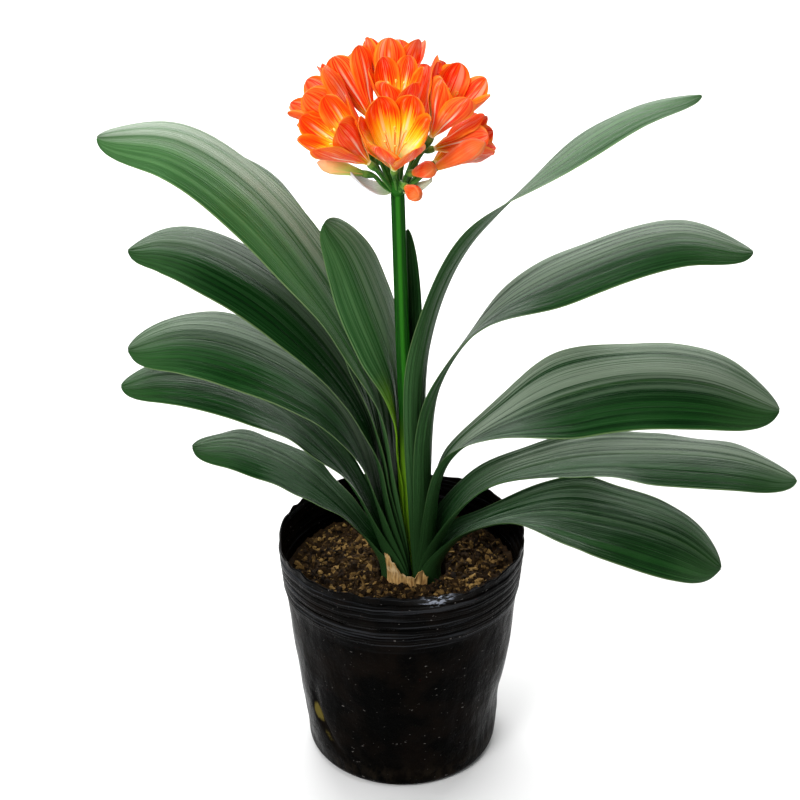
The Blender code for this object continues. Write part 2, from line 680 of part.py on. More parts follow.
def add_husk():
    """The dry tan sheath of a shed leaf, round the front of the plant's foot."""
    radius = SOIL_HOLE_RADIUS - 1.0 * MM
    rows = []
    for i in range(4):
        row = []
        for j in range(9):
            angle = math.radians(-128 + 56 * j / 8)
            top = 20 * MM + (4 * MM if j % 3 == 1 else 0) - 9 * MM * abs(j / 8 - 0.45)
            height = STOCK_TOP + SEAT + 0.2 * MM + (SOIL_TOP - STOCK_TOP + top) * i / 3
            reach = radius + 1.5 * MM * (i / 3) ** 2
            row.append(Vector((FAN_X + reach * math.cos(angle), reach * math.sin(angle), height)))
        rows.append(row)
    return add_object("husk", mesh_from("husk", *loft_slab(rows, grid_normals(rows), 0.7 * MM)), "husk")


def main():
    clear_scene()
    add_pot()
    add_soil()
    add_root_stock()
    for name in LEAVES:
        add_leaf(name)
    add_husk()
    add_scape()
    add_flowers()
    add_buds()
    add_bracts()


main()
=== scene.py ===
"""The looks of a flowering clivia in a soft black nursery pot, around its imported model. Metres, +Z up."""

import itertools
import math
import random

import bpy
import numpy as np
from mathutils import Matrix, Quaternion, Vector


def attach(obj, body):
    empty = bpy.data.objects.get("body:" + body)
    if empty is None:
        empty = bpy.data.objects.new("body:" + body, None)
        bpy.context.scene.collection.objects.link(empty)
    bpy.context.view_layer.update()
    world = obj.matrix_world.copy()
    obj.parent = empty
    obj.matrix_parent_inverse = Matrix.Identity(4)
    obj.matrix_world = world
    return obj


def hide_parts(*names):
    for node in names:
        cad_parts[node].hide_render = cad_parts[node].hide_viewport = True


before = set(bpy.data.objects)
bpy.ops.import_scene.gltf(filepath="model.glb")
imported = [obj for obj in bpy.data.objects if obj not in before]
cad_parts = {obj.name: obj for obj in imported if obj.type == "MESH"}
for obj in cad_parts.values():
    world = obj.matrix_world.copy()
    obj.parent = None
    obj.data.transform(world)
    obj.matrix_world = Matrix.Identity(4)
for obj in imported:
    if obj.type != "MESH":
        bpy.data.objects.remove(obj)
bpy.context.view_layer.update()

MM = 0.001
SEAT = 0.3 * MM  # the gap between pieces that touch
ROUND = 6.28  # a full turn, as the random phases take it
SPLINE_STEPS = 160
UP = np.array([0, 0, 1])

# Pot
POT_HEIGHT = 180 * MM
RIM_RADIUS = 90 * MM
FOOT_RADIUS = 72 * MM
FOOT_ROUND = 5 * MM
POT_WALL = 1.4 * MM
POT_LIP = 0.5 * MM
POT_SIDES = 288
RING_COUNT = 5
RING_PITCH = 7 * MM
RING_TOP = 174 * MM
RING_DEPTH = 1.2 * MM
RING_FOOT = 137 * MM  # the wall's rows are finer from here up
DRAIN_HOLES = 6
DRAIN_RADIUS = 5 * MM
DRAIN_CIRCLE = 44 * MM
DRAIN_REACH = 4 * MM
DENT_ANGLE = -0.2  # the pushed-in place low on the right of the wall
DENT_HEIGHT = 42 * MM
DENT_DEPTH = 3.6  # millimetres
TUCK_ANGLE = math.radians(219)  # the pinched fold low on the left of the wall
TUCK_HEIGHT = 52 * MM
TUCK_DEPTH = 2.6 * MM
CRUMPLE_ANGLE = math.radians(286)  # the crumpled place at the front of the rim
CRUMPLE_HEIGHT = 178 * MM
CRUMPLE_DEPTH = 0.9 * MM
RIM_WAVE = 0.9 * MM

# Soil and the plant's foot
SOIL_TOP = 150 * MM
SOIL_HOLE_RADIUS = 25.2 * MM
SOIL_SLACK = 0.8 * MM
SOIL_SIDES = 192
CRUMBS = 5200
FINE_SHARE = 0.72
FINE_CRUMB = (0.6, 1.3)  # millimetres, like the next
COARSE_CRUMB = (1.3, 2.9)
CRUMB_TONES = (0.0, 0.1, 0.2, 0.35, 0.5, 0.7, 1.0)
STOCK_TOP = 135 * MM
FAN_X = 8 * MM

# Husk
HUSK_COLUMNS = 70
HUSK_ROWS = 40
HUSK_FROM = -140  # degrees round the plant's foot
HUSK_SPAN = 74
HUSK_TOP = [(0, 23), (0.55, 8), (0.72, 8), (0.84, 13), (0.86, 13), (1, 5)]  # millimetres over the soil
HUSK_TEAR = 2.6  # millimetres
HUSK_CREASE = 0.5 * MM
HUSK_THICKNESS = 0.4 * MM

# Leaves
LEAF_THICKNESS = 1.0 * MM
LEAF_STEPS = 120
LEAF_ACROSS = 28
SHEATH_CUP = 86
CUPS = [(0.0, SHEATH_CUP), (0.27, 42), (0.5, 8), (0.75, -25), (1.0, -28)]
TIP_FROM = 0.72
TIP_POWER = 2.4
TIP_BLUNT = 0.05
TIP_STEPS = 30
TIP_SHARE = 0.15
SPINE_STEPS = 2000
NECK_SHARE = 0.55
NECK_AT = 0.27
WIDEST_AT = 0.66
GROOVE_DEPTH = 0.55  # millimetres, like the two below
PLEAT_DEPTH = 0.32
MARGIN_WAVE = 0.7

# Flower stalk
SCAPE_LINE = [(8, 0, 135), (5, 0, 200), (3, 0, 270), (0, 0, 350), (-3, 0, 447)]
SCAPE_STEPS = 140
SCAPE_SIDES = 56
SCAPE_HALF_WIDTH = 5.2 * MM
SCAPE_HALF_DEPTH = 4.2 * MM
UMBEL = Vector((-3 * MM, 0.0, 447 * MM))
KNOB = [(-6, 3.4), (-3, 5.5), (0, 5.9), (3, 4.6), (4.5, 2.2)]  # height from the umbel's centre and radius
KNOB_STEPS = 14
PEDICEL_RADIUS = 1.5 * MM
PEDICEL_SIDES = 12
OVARY_RADIUS = 2.6 * MM
OVARY_LENGTH = 8 * MM

# Flowers and buds, in millimetres at size 1
TEPAL_LINE = [(1.6, 0.0), (6.6, 13.0), (15.8, 29.0), (20.8, 42.0), (21.8, 50.0)]
TEPAL_HALF_WIDTHS = [0.7, 5.5, 11.6, 12.6, 11.6]  # before the tip is rounded off
TEPAL_CAP = 0.72  # where the rounding starts
TEPAL_LENGTH = 50.0
TEPAL_STEPS = 30
TEPAL_ACROSS = 16
TEPAL_THICKNESS = 0.6
TEPAL_RUFFLE = 0.9
TEPAL_CHANNEL = 0.55
TEPAL_PLEAT = 0.1
OUTER_WHORL_SHIFT = 1.9
OUTER_WHORL_SHARE = 0.86
THROAT_HEIGHT = 8.0
STAMEN_LENGTH = 36.0
STAMEN_REACH = 7.5
STAMEN_RADIUS = 0.36
STYLE_RADIUS = 0.42
ANTHER_HALF = 1.7
ANTHER_RADIUS = 0.85
BUD_PROFILE = [(0.0, 0.4), (0.2, 0.62), (0.5, 0.92), (0.72, 1.0), (0.9, 0.66), (1.0, 0.12)]
BUD_SIDES = 48

# Bracts: each one's angle round the stalk, its length and half width in millimetres, and how lilac it is
BRACTS = [(206, 27, 6.0, 1.0), (-32, 20, 5.0, 0.1), (95, 26, 5.5, 0.5)]
BRACT_THICKNESS = 0.5 * MM
BRACT_RISE = 0.55
BRACT_CUP = 3.0 * MM
BRACT_FOOT = 6.3 * MM
BRACT_DROP = -3 * MM
BRACT_ROLL = 0.6  # how steeply each bract tips down towards -Y

# Studio
FLOOR_HALF_WIDTH = 4.0
FLOOR_FRONT = -3.0
FLOOR_DROP = 0.0004
SWEEP_START = 1.6
SWEEP_RADIUS = 0.8
BACKDROP_TOP = 3.2
AIR_LIGHT = 0.26
LIGHTS = {
    "overhead": dict(place=(-0.3, 0.2, 2.0), aim=(0, 0, 0.3), size=(1.3, 1.1), power=24),
    "window": dict(place=(0.1, 1.7, 1.25), aim=(0, 0, 0.38), size=(2.6, 0.9), power=42),
    "key": dict(place=(-1.2, -1.5, 1.5), aim=(0, 0, 0.3), size=(0.7, 0.7), power=18),
    "floor_wash": dict(place=(0.0, 1.4, 1.4), aim=(0, 1.9, 0.0), size=(3.6, 1.0), power=20),
    "flower_light": dict(place=(-0.35, -0.75, 0.95), aim=(0, 0, 0.5), size=(0.35, 0.35), power=5),
}
CAMERA_PLACE = (0.0, -0.973, 0.787)
CAMERA_TILT = math.radians(62.9)
CAMERA_LENS = 69.75
CAMERA_SENSOR = 36.0
CAMERA_SHIFT = -0.0025

# Each leaf: where its sheath sits from the fan's centre, its full width, the degrees that its blade rolls
# towards -Y at shares of its length, how pale it is, how much painted sheen its back half carries, and its
# midrib after the sheath. Millimetres, outermost first.
LEAVES = {
    "leaf_left_1": dict(
        sheath=22.4, width=46, rolls=[(0.5, 14), (1, 16)], widest=0.6, pale=0.1, gleam=0.2,
        line=[(-18, 0, 160), (-43, 0, 200), (-84, 0, 238), (-119, 0, 253), (-150, 0, 251)],
    ),
    "leaf_left_2": dict(
        sheath=20.0, width=54, rolls=[(0.5, 12), (1, 20)], pale=0.0, gleam=0.15,
        line=[(-15, 0, 165), (-40, 0, 230), (-80, 0, 276), (-125, 0, 302), (-165, 0, 308), (-197, 0, 300)],
    ),
    "leaf_left_3": dict(
        sheath=17.6, width=66, rolls=[(0.5, 24), (1, 26)], pale=0.1, gleam=0.6,
        line=[(-12, 0, 170), (-29, 0, 250), (-53, 0, 292), (-106, 0, 328), (-150, 0, 338), (-190, 0, 328)],
    ),
    "leaf_left_4": dict(
        sheath=15.2, width=66, rolls=[(0.5, 22), (1, 22)], pale=0.05, gleam=0.4,
        line=[(-10, 0, 180), (-27, 0, 284), (-77, 0, 362), (-130, 0, 399), (-160, 0, 406), (-184, 0, 402)],
    ),
    "leaf_left_5": dict(
        sheath=12.8, width=56, rolls=[(0.5, 18), (1, 18)], pale=0.4, gleam=0.4,
        line=[(-8, 0, 190), (-23, 2, 296), (-50, 24, 368), (-84, 38, 424), (-136, 44, 462)],
    ),
    "leaf_left_6": dict(
        sheath=10.4, width=68, rolls=[(0.5, 22), (1, 24)], pale=0.7, gleam=1.0,
        line=[(-6, 0, 190), (-18, 0, 300), (-44, 0, 362), (-98, 0, 441), (-148, 0, 476), (-198, 0, 480)],
    ),
    "leaf_left_7": dict(
        sheath=8.0, width=52, rolls=[(0.4, 10), (0.75, 42), (1, 45)],
        neck=0.42, neck_at=0.35, pale=0.85, painted_sunlit_strip=1, gleam=0.5,
        line=[(-1.5, 1, 190), (-3, 3, 250), (-6.5, 4, 310), (-22, 0, 365), (-37, -6, 405), (-51, -12, 426)],
    ),
    "leaf_right_1": dict(
        sheath=20.4, width=68, rolls=[(0.2, -5), (0.6, 28), (1, 34)],
        neck=0.45, neck_at=0.24, widest=0.58, pale=0.15, gleam=0.2,
        line=[(30, 0, 156), (48, 0, 180), (101, 0, 197), (155, 0, 190), (205, 0, 172), (238, 0, 148)],
    ),
    "leaf_right_2": dict(
        sheath=18.0, width=62, rolls=[(0.5, 8), (1, 12)], pale=0.2, gleam=0.9,
        line=[(27, 0, 165), (54, 0, 216), (113, 0, 241), (180, 0, 246), (243, 0, 240), (285, 0, 225)],
    ),
    "leaf_right_3": dict(
        sheath=15.6, width=72, rolls=[(0.3, -12), (0.6, 34), (1, 38)],
        neck=0.45, neck_at=0.3, widest=0.58, pale=0.05, gleam=1.0,
        line=[(24, 0, 175), (34, 0, 240), (83, 0, 278), (150, 0, 302), (210, 0, 302), (267, 0, 281)],
    ),
    "leaf_right_4": dict(
        sheath=13.2, width=58, rolls=[(0.3, -26), (0.46, -14), (0.7, 16), (1, 20)],
        neck=0.5, neck_at=0.4, widest=0.68, pale=0.15, gleam=0.7,
        line=[(20, 0, 190), (25, 0, 297), (63, 0, 356), (133, 0, 397), (186, 0, 412), (236, 0, 401)],
    ),
    "leaf_right_5": dict(
        sheath=10.8, width=46, rolls=[(0.3, -26), (0.62, -24), (0.86, 6), (1, 8)],
        neck=0.75, pale=0.5, gleam=0.1,
        cups=[(0.0, SHEATH_CUP), (0.3, 40), (0.6, 15), (0.8, -15), (1.0, -20)],
        line=[(16, 0, 200), (16, 0, 325), (40, 0, 399), (98, 0, 461), (150, 0, 496), (192, 0, 508)],
    ),
    "leaf_right_6": dict(
        sheath=8.0, width=15, rolls=[(0.3, 45), (0.6, 80), (1, 80)], neck=0.8, pale=0.3, gleam=0.1,
        cups=[(0.0, SHEATH_CUP), (0.4, 25), (1.0, 5)],
        line=[(14, 3, 170), (10, 9, 230), (7.5, 10, 310), (6, 10, 370), (4, 8, 414)],
    ),
}

# Each flower: its foot from the umbel's centre, the way it faces, its turn, its size, how wide it opens and
# how far its throat glows. A bud has its length, its radius and how ripe it is.
BLOOMS = {
    "bloom_front": dict(foot=(-2, -20, 19), way=(0.02, -0.6, 0.8), size=1.0, opening=0.95, glow=0.22),
    "bloom_left_front": dict(
        foot=(-18.5, -17.5, 22), way=(-0.62, -0.36, 0.7), turn=10, size=0.95, opening=0.95, glow=0.16,
    ),
    "bloom_left": dict(foot=(-22, 2, 36), way=(-0.77, 0.02, 0.63), turn=5, size=0.95, opening=0.9),
    "bloom_left_high": dict(foot=(-17, 13, 42), way=(-0.42, 0.3, 0.86), turn=20, size=0.9, opening=0.82),
    "bloom_middle": dict(foot=(-1, 0, 44), way=(0.02, -0.3, 0.95), size=0.78, opening=0.95, glow=0.12),
    "bloom_top": dict(foot=(-4, 20, 44), way=(0.04, 0.26, 0.96), turn=30, size=0.95, opening=0.9),
    "bloom_right": dict(foot=(22, -12, 38), way=(0.42, -0.24, 0.87), turn=40, size=0.92, opening=0.9),
    "bloom_right_high": dict(foot=(18, 14, 34), way=(0.52, 0.28, 0.81), turn=15, size=0.9, opening=0.85),
    "bloom_right_low": dict(foot=(24, -3, 27), way=(0.95, -0.1, 0.3), turn=47, size=0.76, opening=0.72),
    "bloom_back": dict(foot=(6, 28, 24), way=(0.16, 0.8, 0.58), turn=55, size=0.95, opening=0.9),
    "bloom_back_left": dict(foot=(-22, 20, 18), way=(-0.66, 0.55, 0.5), turn=25, size=0.9, opening=0.9),
    "bloom_back_right": dict(foot=(24, 18, 10), way=(0.72, 0.64, 0.26), turn=40, size=0.85, opening=0.8),
}
BUDS = {
    "bud_right": dict(foot=(26, -19, 20), way=(0.82, -0.24, 0.52), length=36, radius=7.0, ripe=0.95),
    "bud_right_low": dict(foot=(11, -19, 16), way=(0.56, -0.74, 0.38), length=22, radius=5.8, ripe=1.0),
    "bud_right_small": dict(foot=(6, -16, 5), way=(0.46, -0.88, -0.06), length=17, radius=5.4, ripe=1.0),
    "bud_left_pale": dict(foot=(-23, -8, 12), way=(-0.9, -0.22, 0.3), length=31, radius=5.5, ripe=0.0),
    "bud_back_pale": dict(foot=(-14, 22, 12), way=(-0.5, 0.84, 0.2), length=28, radius=5.0, ripe=0.1),
}


class Flow:
    """A value that runs through a finish's nodes. Arithmetic on it adds Math nodes."""

    def __init__(self, finish, socket):
        self.finish = finish
        self.socket = socket

    def math(self, operation, *values):
        return self.finish.node("ShaderNodeMath", {"operation": operation}, dict(enumerate(values)))

    def __add__(self, other):
        return self.math("ADD", self, other)

    def __sub__(self, other):
        return self.math("SUBTRACT", self, other)

    def __rsub__(self, other):
        return self.math("SUBTRACT", other, self)

    def __mul__(self, other):
        return self.math("MULTIPLY", self, other)

    def __abs__(self):
        return self.math("ABSOLUTE", self)

    __radd__ = __add__
    __rmul__ = __mul__

    def band(self, low, high):
        """0 below low and 1 above high, eased between them."""
        ends = {"Value": self, "From Min": low, "From Max": high}
        return self.finish.node("ShaderNodeMapRange", {"interpolation_type": "SMOOTHSTEP"}, ends)


class Finish:
    """A material, built up node by node."""

    def __init__(self, name):
        self.material = bpy.data.materials.new(name)
        self.material.use_nodes = True
        self.tree = self.material.node_tree
        self.shader = self.tree.nodes["Principled BSDF"]

    def fill(self, node, inputs):
        for key, value in inputs.items():
            if isinstance(value, Flow):
                self.tree.links.new(value.socket, node.inputs[key])
            else:
                node.inputs[key].default_value = value

    def node(self, kind, settings, inputs, output=0):
        """Any node: its settings are set first, then its sockets. Gives the output as a Flow."""
        made = self.tree.nodes.new(kind)
        for key, value in settings.items():
            if key == "stops":
                self.set_stops(made.color_ramp, value)
            else:
                setattr(made, key, value)
        self.fill(made, inputs)
        return Flow(self, made.outputs[output])

    def set_stops(self, ramp, stops):
        while len(ramp.elements) < len(stops):
            ramp.elements.new(1.0)
        for element, (place, colour) in zip(ramp.elements, stops):
            element.position = place
            element.color = (*colour, 1.0)

    def coat(self, colour, roughness, bump=None, specular=0.5, others=()):
        """The finished material. Its bump is a height and a distance; others are more sockets."""
        inputs = {"Base Color": colour, "Roughness": roughness, "Specular IOR Level": specular}
        inputs.update(others)
        if bump:
            relief = {"Height": bump[0], "Distance": bump[1], "Strength": 1.0}
            inputs["Normal"] = self.node("ShaderNodeBump", {}, relief)
        self.fill(self.shader, inputs)
        return self.material

    def mix(self, share, first, second):
        """A colour between two colours."""
        pair = {0: share, 6: colour4(first), 7: colour4(second)}
        return self.node("ShaderNodeMix", {"data_type": "RGBA"}, pair, 2)

    def layers(self, colour, *layers):
        """A colour with more laid over it in turn, each given by its share and its colour."""
        for share, over in layers:
            colour = self.mix(share, colour, over)
        return colour

    def ramp(self, value, *stops):
        return self.node("ShaderNodeValToRGB", {"stops": stops}, {0: value})

    def noise(self, place, scale, detail=3.0, roughness=0.55):
        inputs = {"Vector": place, "Scale": scale, "Detail": detail, "Roughness": roughness}
        return self.node("ShaderNodeTexNoise", {}, inputs)

    def grain(self, place, factors, detail=3.0):
        """Noise as fine along each axis as its factor says."""
        return self.noise(self.vector("MULTIPLY", place, factors), 1.0, detail)

    def vector(self, operation, first, second):
        return self.node("ShaderNodeVectorMath", {"operation": operation}, {0: first, 1: second})

    def object_place(self):
        return self.node("ShaderNodeTexCoord", {}, {}, "Object")

    def attribute(self, name):
        return self.node("ShaderNodeAttribute", {"attribute_name": name}, {}, "Vector")

    def parts(self, vector):
        """The three parts of a vector."""
        split = self.node("ShaderNodeSeparateXYZ", {}, {"Vector": vector}).socket.node
        return [Flow(self, split.outputs[axis]) for axis in "XYZ"]


def colour4(value):
    return (*value, 1.0) if isinstance(value, tuple) else value


def leaf_finish():
    """Waxy strap leaf: fine parallel veins, a paler groove, a thin pale margin, painted shade darkening it
    towards the foot, a painted sheen over its back half and a painted sunlit strip low on one side of a young
    leaf.
    """
    finish = Finish("clivia_leaf")
    place, tone = finish.attribute("blade"), finish.attribute("tone")
    across, along_it, face = finish.parts(place)
    pale, painted_sunlit_strip = finish.parts(tone)[:2]
    gleam = finish.parts(finish.attribute("gleam"))[0]
    shifted = finish.vector("ADD", place, tone)
    veins = finish.grain(shifted, (46.0, 1.6, 0.0))
    streaks = finish.grain(shifted, (11.0, 0.8, 3.0), 2.0)
    blotches = finish.grain(shifted, (1.5, 5.0, 3.0), 4.0)
    fine = finish.grain(shifted, (85.0, 1.3, 3.0), 2.0)
    light = (streaks * 0.5 + veins * 0.5).band(0.38, 0.64)
    deep = finish.mix(light, (0.0016, 0.015, 0.0024), (0.0078, 0.052, 0.008))
    fresh = finish.mix(light, (0.018, 0.076, 0.016), (0.084, 0.196, 0.068))
    tip = along_it.band(0.8, 1.0)
    foot = 1 - along_it.band(0.05, 0.42)
    groove = 1 - abs(across).band(0.01, 0.045)
    margin = abs(across).band(0.962, 0.988) * along_it.band(0.12, 0.45)
    patches = (streaks + (fine - 0.5) * 0.6).band(0.36, 0.62)
    lines = fine.band(0.6, 0.72) * along_it.band(0.15, 0.4)
    under = 1 - face.band(-0.5, 0.5)
    # low: the lower stretch of the blade that carries the painted sunlit strip
    low = along_it.band(0.1, 0.22) * (1 - along_it.band(0.4, 0.62))
    blade = finish.layers(
        finish.mix((pale + (blotches - 0.5) * 0.5).band(0.0, 1.0), deep, fresh),
        (tip * 0.2, (0.07, 0.19, 0.05)),
        # painted shade: darkens the lower part of each blade where the leaves crowd together
        (foot * 0.8, (0.003, 0.023, 0.003)),
        (groove * 0.15, (0.07, 0.17, 0.04)),
        (margin * 0.6, (0.19, 0.29, 0.11)),
        # painted sheen: paler grey-green streaky patches over the back half of the blade
        (gleam * patches * 0.7, (0.23, 0.275, 0.21)),
        # fine pale streaks: partly the veins' own colour, partly painted sheen that grows with the painted
        # sheen amount
        (lines * (0.12 + gleam * 0.4), (0.3, 0.37, 0.27)),
        (under * 0.4, (0.05, 0.13, 0.04)),
        # painted sunlit strip: bright yellow-green on one side of the lower blade of a young leaf
        (across.band(0.25, 0.6) * low * painted_sunlit_strip, (0.3, 0.66, 0.02)),
    )
    rough = 0.13 + streaks * 0.18 + veins * 0.14 + under * 0.12
    bump = (veins * 0.7 + streaks * 0.3, 1.2 * MM)
    return finish.coat(blade, rough, bump, 0.16, {"Specular Tint": (0.45, 1.0, 0.45, 1.0)})


def petal_finish():
    """Orange tepals: yellow throat, pale midline, fine veins, golden margins and a pinkish back."""
    finish = Finish("clivia_petal")
    place, tone = finish.attribute("petal"), finish.attribute("tone")
    across, along_it, face = finish.parts(place)
    glow = finish.parts(tone)[1]
    shifted = finish.vector("ADD", place, tone)
    veins = finish.grain(shifted, (15.0, 1.2, 1.0))
    clouds = finish.grain(shifted, (1.7, 2.4, 1.0), 2.0)
    spread = abs(across)
    inner = face.band(-0.5, 0.5)
    inside = finish.mix(veins.band(0.36, 0.64), (0.94, 0.014, 0.0), (1.0, 0.135, 0.004))
    outside = finish.mix(veins.band(0.38, 0.62), (0.96, 0.022, 0.0), (1.0, 0.21, 0.026))
    rosy = clouds.band(0.5, 0.64) * veins.band(0.4, 0.62) * along_it.band(0.2, 0.5)
    golden = (spread + (clouds - 0.5) * 1.1).band(0.55, 1.05) * along_it.band(0.25, 0.6)
    throat = 0.22 + inner * (0.3 + glow) - spread * 0.14 + (veins - 0.5) * 0.75 - along_it
    midline = (1 - spread.band(0.03, 0.13)) * (1 - (along_it + clouds * 0.6).band(0.75, 1.15))
    body = finish.layers(
        finish.mix(inner, outside, inside),
        (rosy * 0.55, (1.0, 0.44, 0.33)),
        (golden * 0.75, (1.0, 0.3, 0.008)),
        (throat.band(-0.1, 0.12), (1.0, 0.56, 0.006)),
        (throat.band(0.06, 0.22), (1.0, 0.8, 0.06)),
        (throat.band(0.16, 0.34) * inner * 0.8, (1.0, 0.93, 0.5)),
        (midline * 0.85, (1.0, 0.82, 0.6)),
    )
    flesh = {"Subsurface Weight": 0.12, "Subsurface Radius": (0.004, 0.001, 0.0004), "Subsurface Scale": 1.0}
    return finish.coat(body, 0.38 + veins * 0.12, (veins, 0.35 * MM), 0.22, flesh)


def stamen_finish():
    """Threads that redden upwards, and grainy yellow anthers."""
    finish = Finish("clivia_stamen")
    along_it = finish.parts(finish.attribute("petal"))[1]
    grain = finish.noise(finish.object_place(), 900.0, 2.0)
    thread = finish.mix(along_it.band(0.05, 0.8), (1.0, 0.72, 0.1), (1.0, 0.3, 0.03))
    pollen = finish.mix(grain.band(0.35, 0.65), (0.8, 0.46, 0.03), (1.0, 0.8, 0.22))
    colour = finish.mix(along_it.band(1.0, 1.5), thread, pollen)
    return finish.coat(colour, 0.55 + grain * 0.2, (grain, 0.2 * MM))


def bud_finish():
    """Closed buds: green-yellow at the foot, ripening to orange red with pale seams."""
    finish = Finish("clivia_bud")
    place = finish.attribute("petal")
    across, along_it, ripe = finish.parts(place)
    veins = finish.grain(place, (16.0, 1.2, 1.0))
    unripe = finish.ramp(
        along_it + (veins - 0.5) * 0.25,
        (0.0, (0.12, 0.3, 0.03)),
        (0.35, (0.55, 0.62, 0.12)),
        (0.7, (0.95, 0.55, 0.2)),
        (1.0, (1.0, 0.42, 0.22)),
    )
    orange = finish.ramp(
        along_it + (veins - 0.5) * 0.3,
        (0.0, (0.95, 0.36, 0.02)),
        (0.22, (1.0, 0.12, 0.008)),
        (0.7, (1.0, 0.07, 0.005)),
        (1.0, (1.0, 0.2, 0.03)),
    )
    seam = across.band(0.8, 0.97)
    body = finish.layers(
        finish.mix(ripe, unripe, orange),
        (veins.band(0.46, 0.62) * ripe * 0.6, (1.0, 0.26, 0.06)),
        (seam * 0.5, (1.0, 0.4, 0.16)),
    )
    return finish.coat(body, 0.36 + veins * 0.12, (veins - seam * 0.5, 0.35 * MM), 0.25)


def scape_finish():
    """Dark green stalk with a painted highlight down the middle of its front and back faces and a painted
    sunlit yellow-green stretch low down, and the flowers' paler stalks and ovaries.
    """
    finish = Finish("clivia_scape")
    place = finish.attribute("stalk")
    painted_face_highlight, along_it, kind = finish.parts(place)
    fibres = finish.grain(place, (22.0, 3.0, 1.0))
    stalk = finish.mix(fibres.band(0.4, 0.6), (0.016, 0.095, 0.008), (0.08, 0.22, 0.036))
    # painted sunlit yellow-green over the lower stalk
    low = (1 - along_it.band(0.9, 1.9)) * (1 - kind.band(0.2, 0.5))
    ovary = along_it.band(0.72, 0.92) * kind.band(0.5, 0.9)
    green = finish.layers(
        finish.mix(fibres.band(0.36, 0.64), (0.002, 0.03, 0.001), (0.008, 0.085, 0.004)),
        # painted highlight down the middle of the front and back faces; the sides stay dark
        (painted_face_highlight.band(0.35, 0.95) * 0.7, (0.026, 0.2, 0.008)),
        (kind.band(0.5, 0.9), stalk),
        (low * 0.9, (0.3, 0.64, 0.025)),
        (ovary * 0.6, (0.2, 0.36, 0.06)),
    )
    return finish.coat(green, 0.34 + fibres * 0.2, (fibres, 0.3 * MM), 0.12)


def bract_finish():
    """Papery bracts, green at the foot, cream or lilac white above."""
    finish = Finish("clivia_bract")
    place = finish.attribute("petal")
    along_it, lilac = finish.parts(place)[1:]
    lines = finish.grain(place, (24.0, 1.4, 1.0))
    cream = finish.mix(lines.band(0.35, 0.65), (0.5, 0.56, 0.34), (0.82, 0.86, 0.68))
    cool = finish.mix(lines.band(0.35, 0.65), (0.66, 0.66, 0.76), (0.95, 0.94, 1.0))
    foot = 1 - along_it.band(0.05, 0.5)
    colour = finish.layers(cream, (lilac * 0.8, cool), (foot * 0.7, (0.3, 0.46, 0.14)))
    return finish.coat(colour, 0.55 + lines * 0.2, (lines, 0.3 * MM))


def husk_finish():
    """Dry papery sheath with torn fibres."""
    finish = Finish("dry_husk")
    place = finish.attribute("petal")
    along_it = finish.parts(place)[1]
    fibres = finish.grain(place, (24.0, 2.4, 1.0), 4.0)
    patches = finish.noise(finish.object_place(), 110.0, 4.0)
    foot = 1 - along_it.band(0.0, 0.4)
    tan = finish.layers(
        finish.mix(fibres.band(0.34, 0.66), (0.3, 0.15, 0.04), (0.72, 0.45, 0.16)),
        (patches.band(0.5, 0.68) * 0.7, (0.88, 0.68, 0.38)),
        (foot * 0.7, (0.12, 0.06, 0.02)),
    )
    return finish.coat(tan, 0.62 + fibres * 0.2, (fibres, 0.5 * MM))


def stock_finish():
    """Pale fibrous root stock, stained by soil."""
    finish = Finish("root_stock_skin")
    place = finish.object_place()
    fibres = finish.grain(place, (600.0, 600.0, 90.0))
    stains = finish.noise(place, 120.0, 4.0)
    skin = finish.mix(fibres.band(0.35, 0.65), (0.26, 0.21, 0.09), (0.52, 0.46, 0.25))
    skin = finish.mix(stains.band(0.42, 0.62) * 0.8, skin, (0.07, 0.036, 0.014))
    return finish.coat(skin, 0.6 + fibres * 0.25, (fibres, 0.6 * MM))


def pot_finish():
    """Thin black polythene with fine lines where it is stretched, painted pale along them as highlights, dust
    low down, a scuffed fold and a painted bluish-white highlight on the crumpled rim.
    """
    finish = Finish("black_polythene")
    place = finish.object_place()
    height = finish.parts(place)[2]
    scuff, shine = finish.parts(finish.attribute("scuff"))[:2]
    cloud = finish.noise(place, 34.0, 4.0)
    crinkle = finish.noise(finish.vector("MULTIPLY", place, (1.0, 1.0, 0.6)), 85.0, 5.0, 0.62)
    lines = finish.grain(place, (9.0, 9.0, 420.0))
    pores = finish.noise(place, 900.0, 2.0)
    dust = (1 - height.band(0.0, 0.03)) * crinkle.band(0.45, 0.65)
    scuffed = (scuff + (crinkle - 0.5) * 0.8).band(0.38, 0.75)
    scratches = finish.grain(place, (260.0, 260.0, 520.0), 2.0).band(0.7, 0.76)
    painted_rim_highlight = finish.grain(place, (170.0, 170.0, 520.0)).band(0.5, 0.58)
    stretched = height.band(0.13, 0.14)
    body = finish.layers(
        finish.mix(cloud.band(0.4, 0.7), (0.0006, 0.0006, 0.0005), (0.0036, 0.0024, 0.0016)),
        (dust * 0.4, (0.03, 0.022, 0.014)),
        (scuffed * 0.8, (0.125, 0.098, 0.02)),
        (scratches * 0.6, (0.16, 0.15, 0.14)),
        # painted highlight: bluish-white streaks over the crumpled patch of the rim
        (painted_rim_highlight * shine.band(0.25, 0.7), (0.3, 0.33, 0.4)),
        # painted highlights: pale grey lines along the pressed rings, where the film is stretched
        (lines.band(0.54, 0.66) * stretched * 0.6, (0.03, 0.032, 0.036)),
    )
    rough = 0.22 + cloud.band(0.35, 0.7) * 0.16
    bump = (crinkle * 0.8 + pores * 0.08 + lines * stretched * 0.45, 1.6 * MM)
    gloss = {"Coat Weight": stretched * 0.03 + shine * 0.5, "Coat Roughness": 0.16}
    return finish.coat(body, rough, bump, 0.01, gloss)


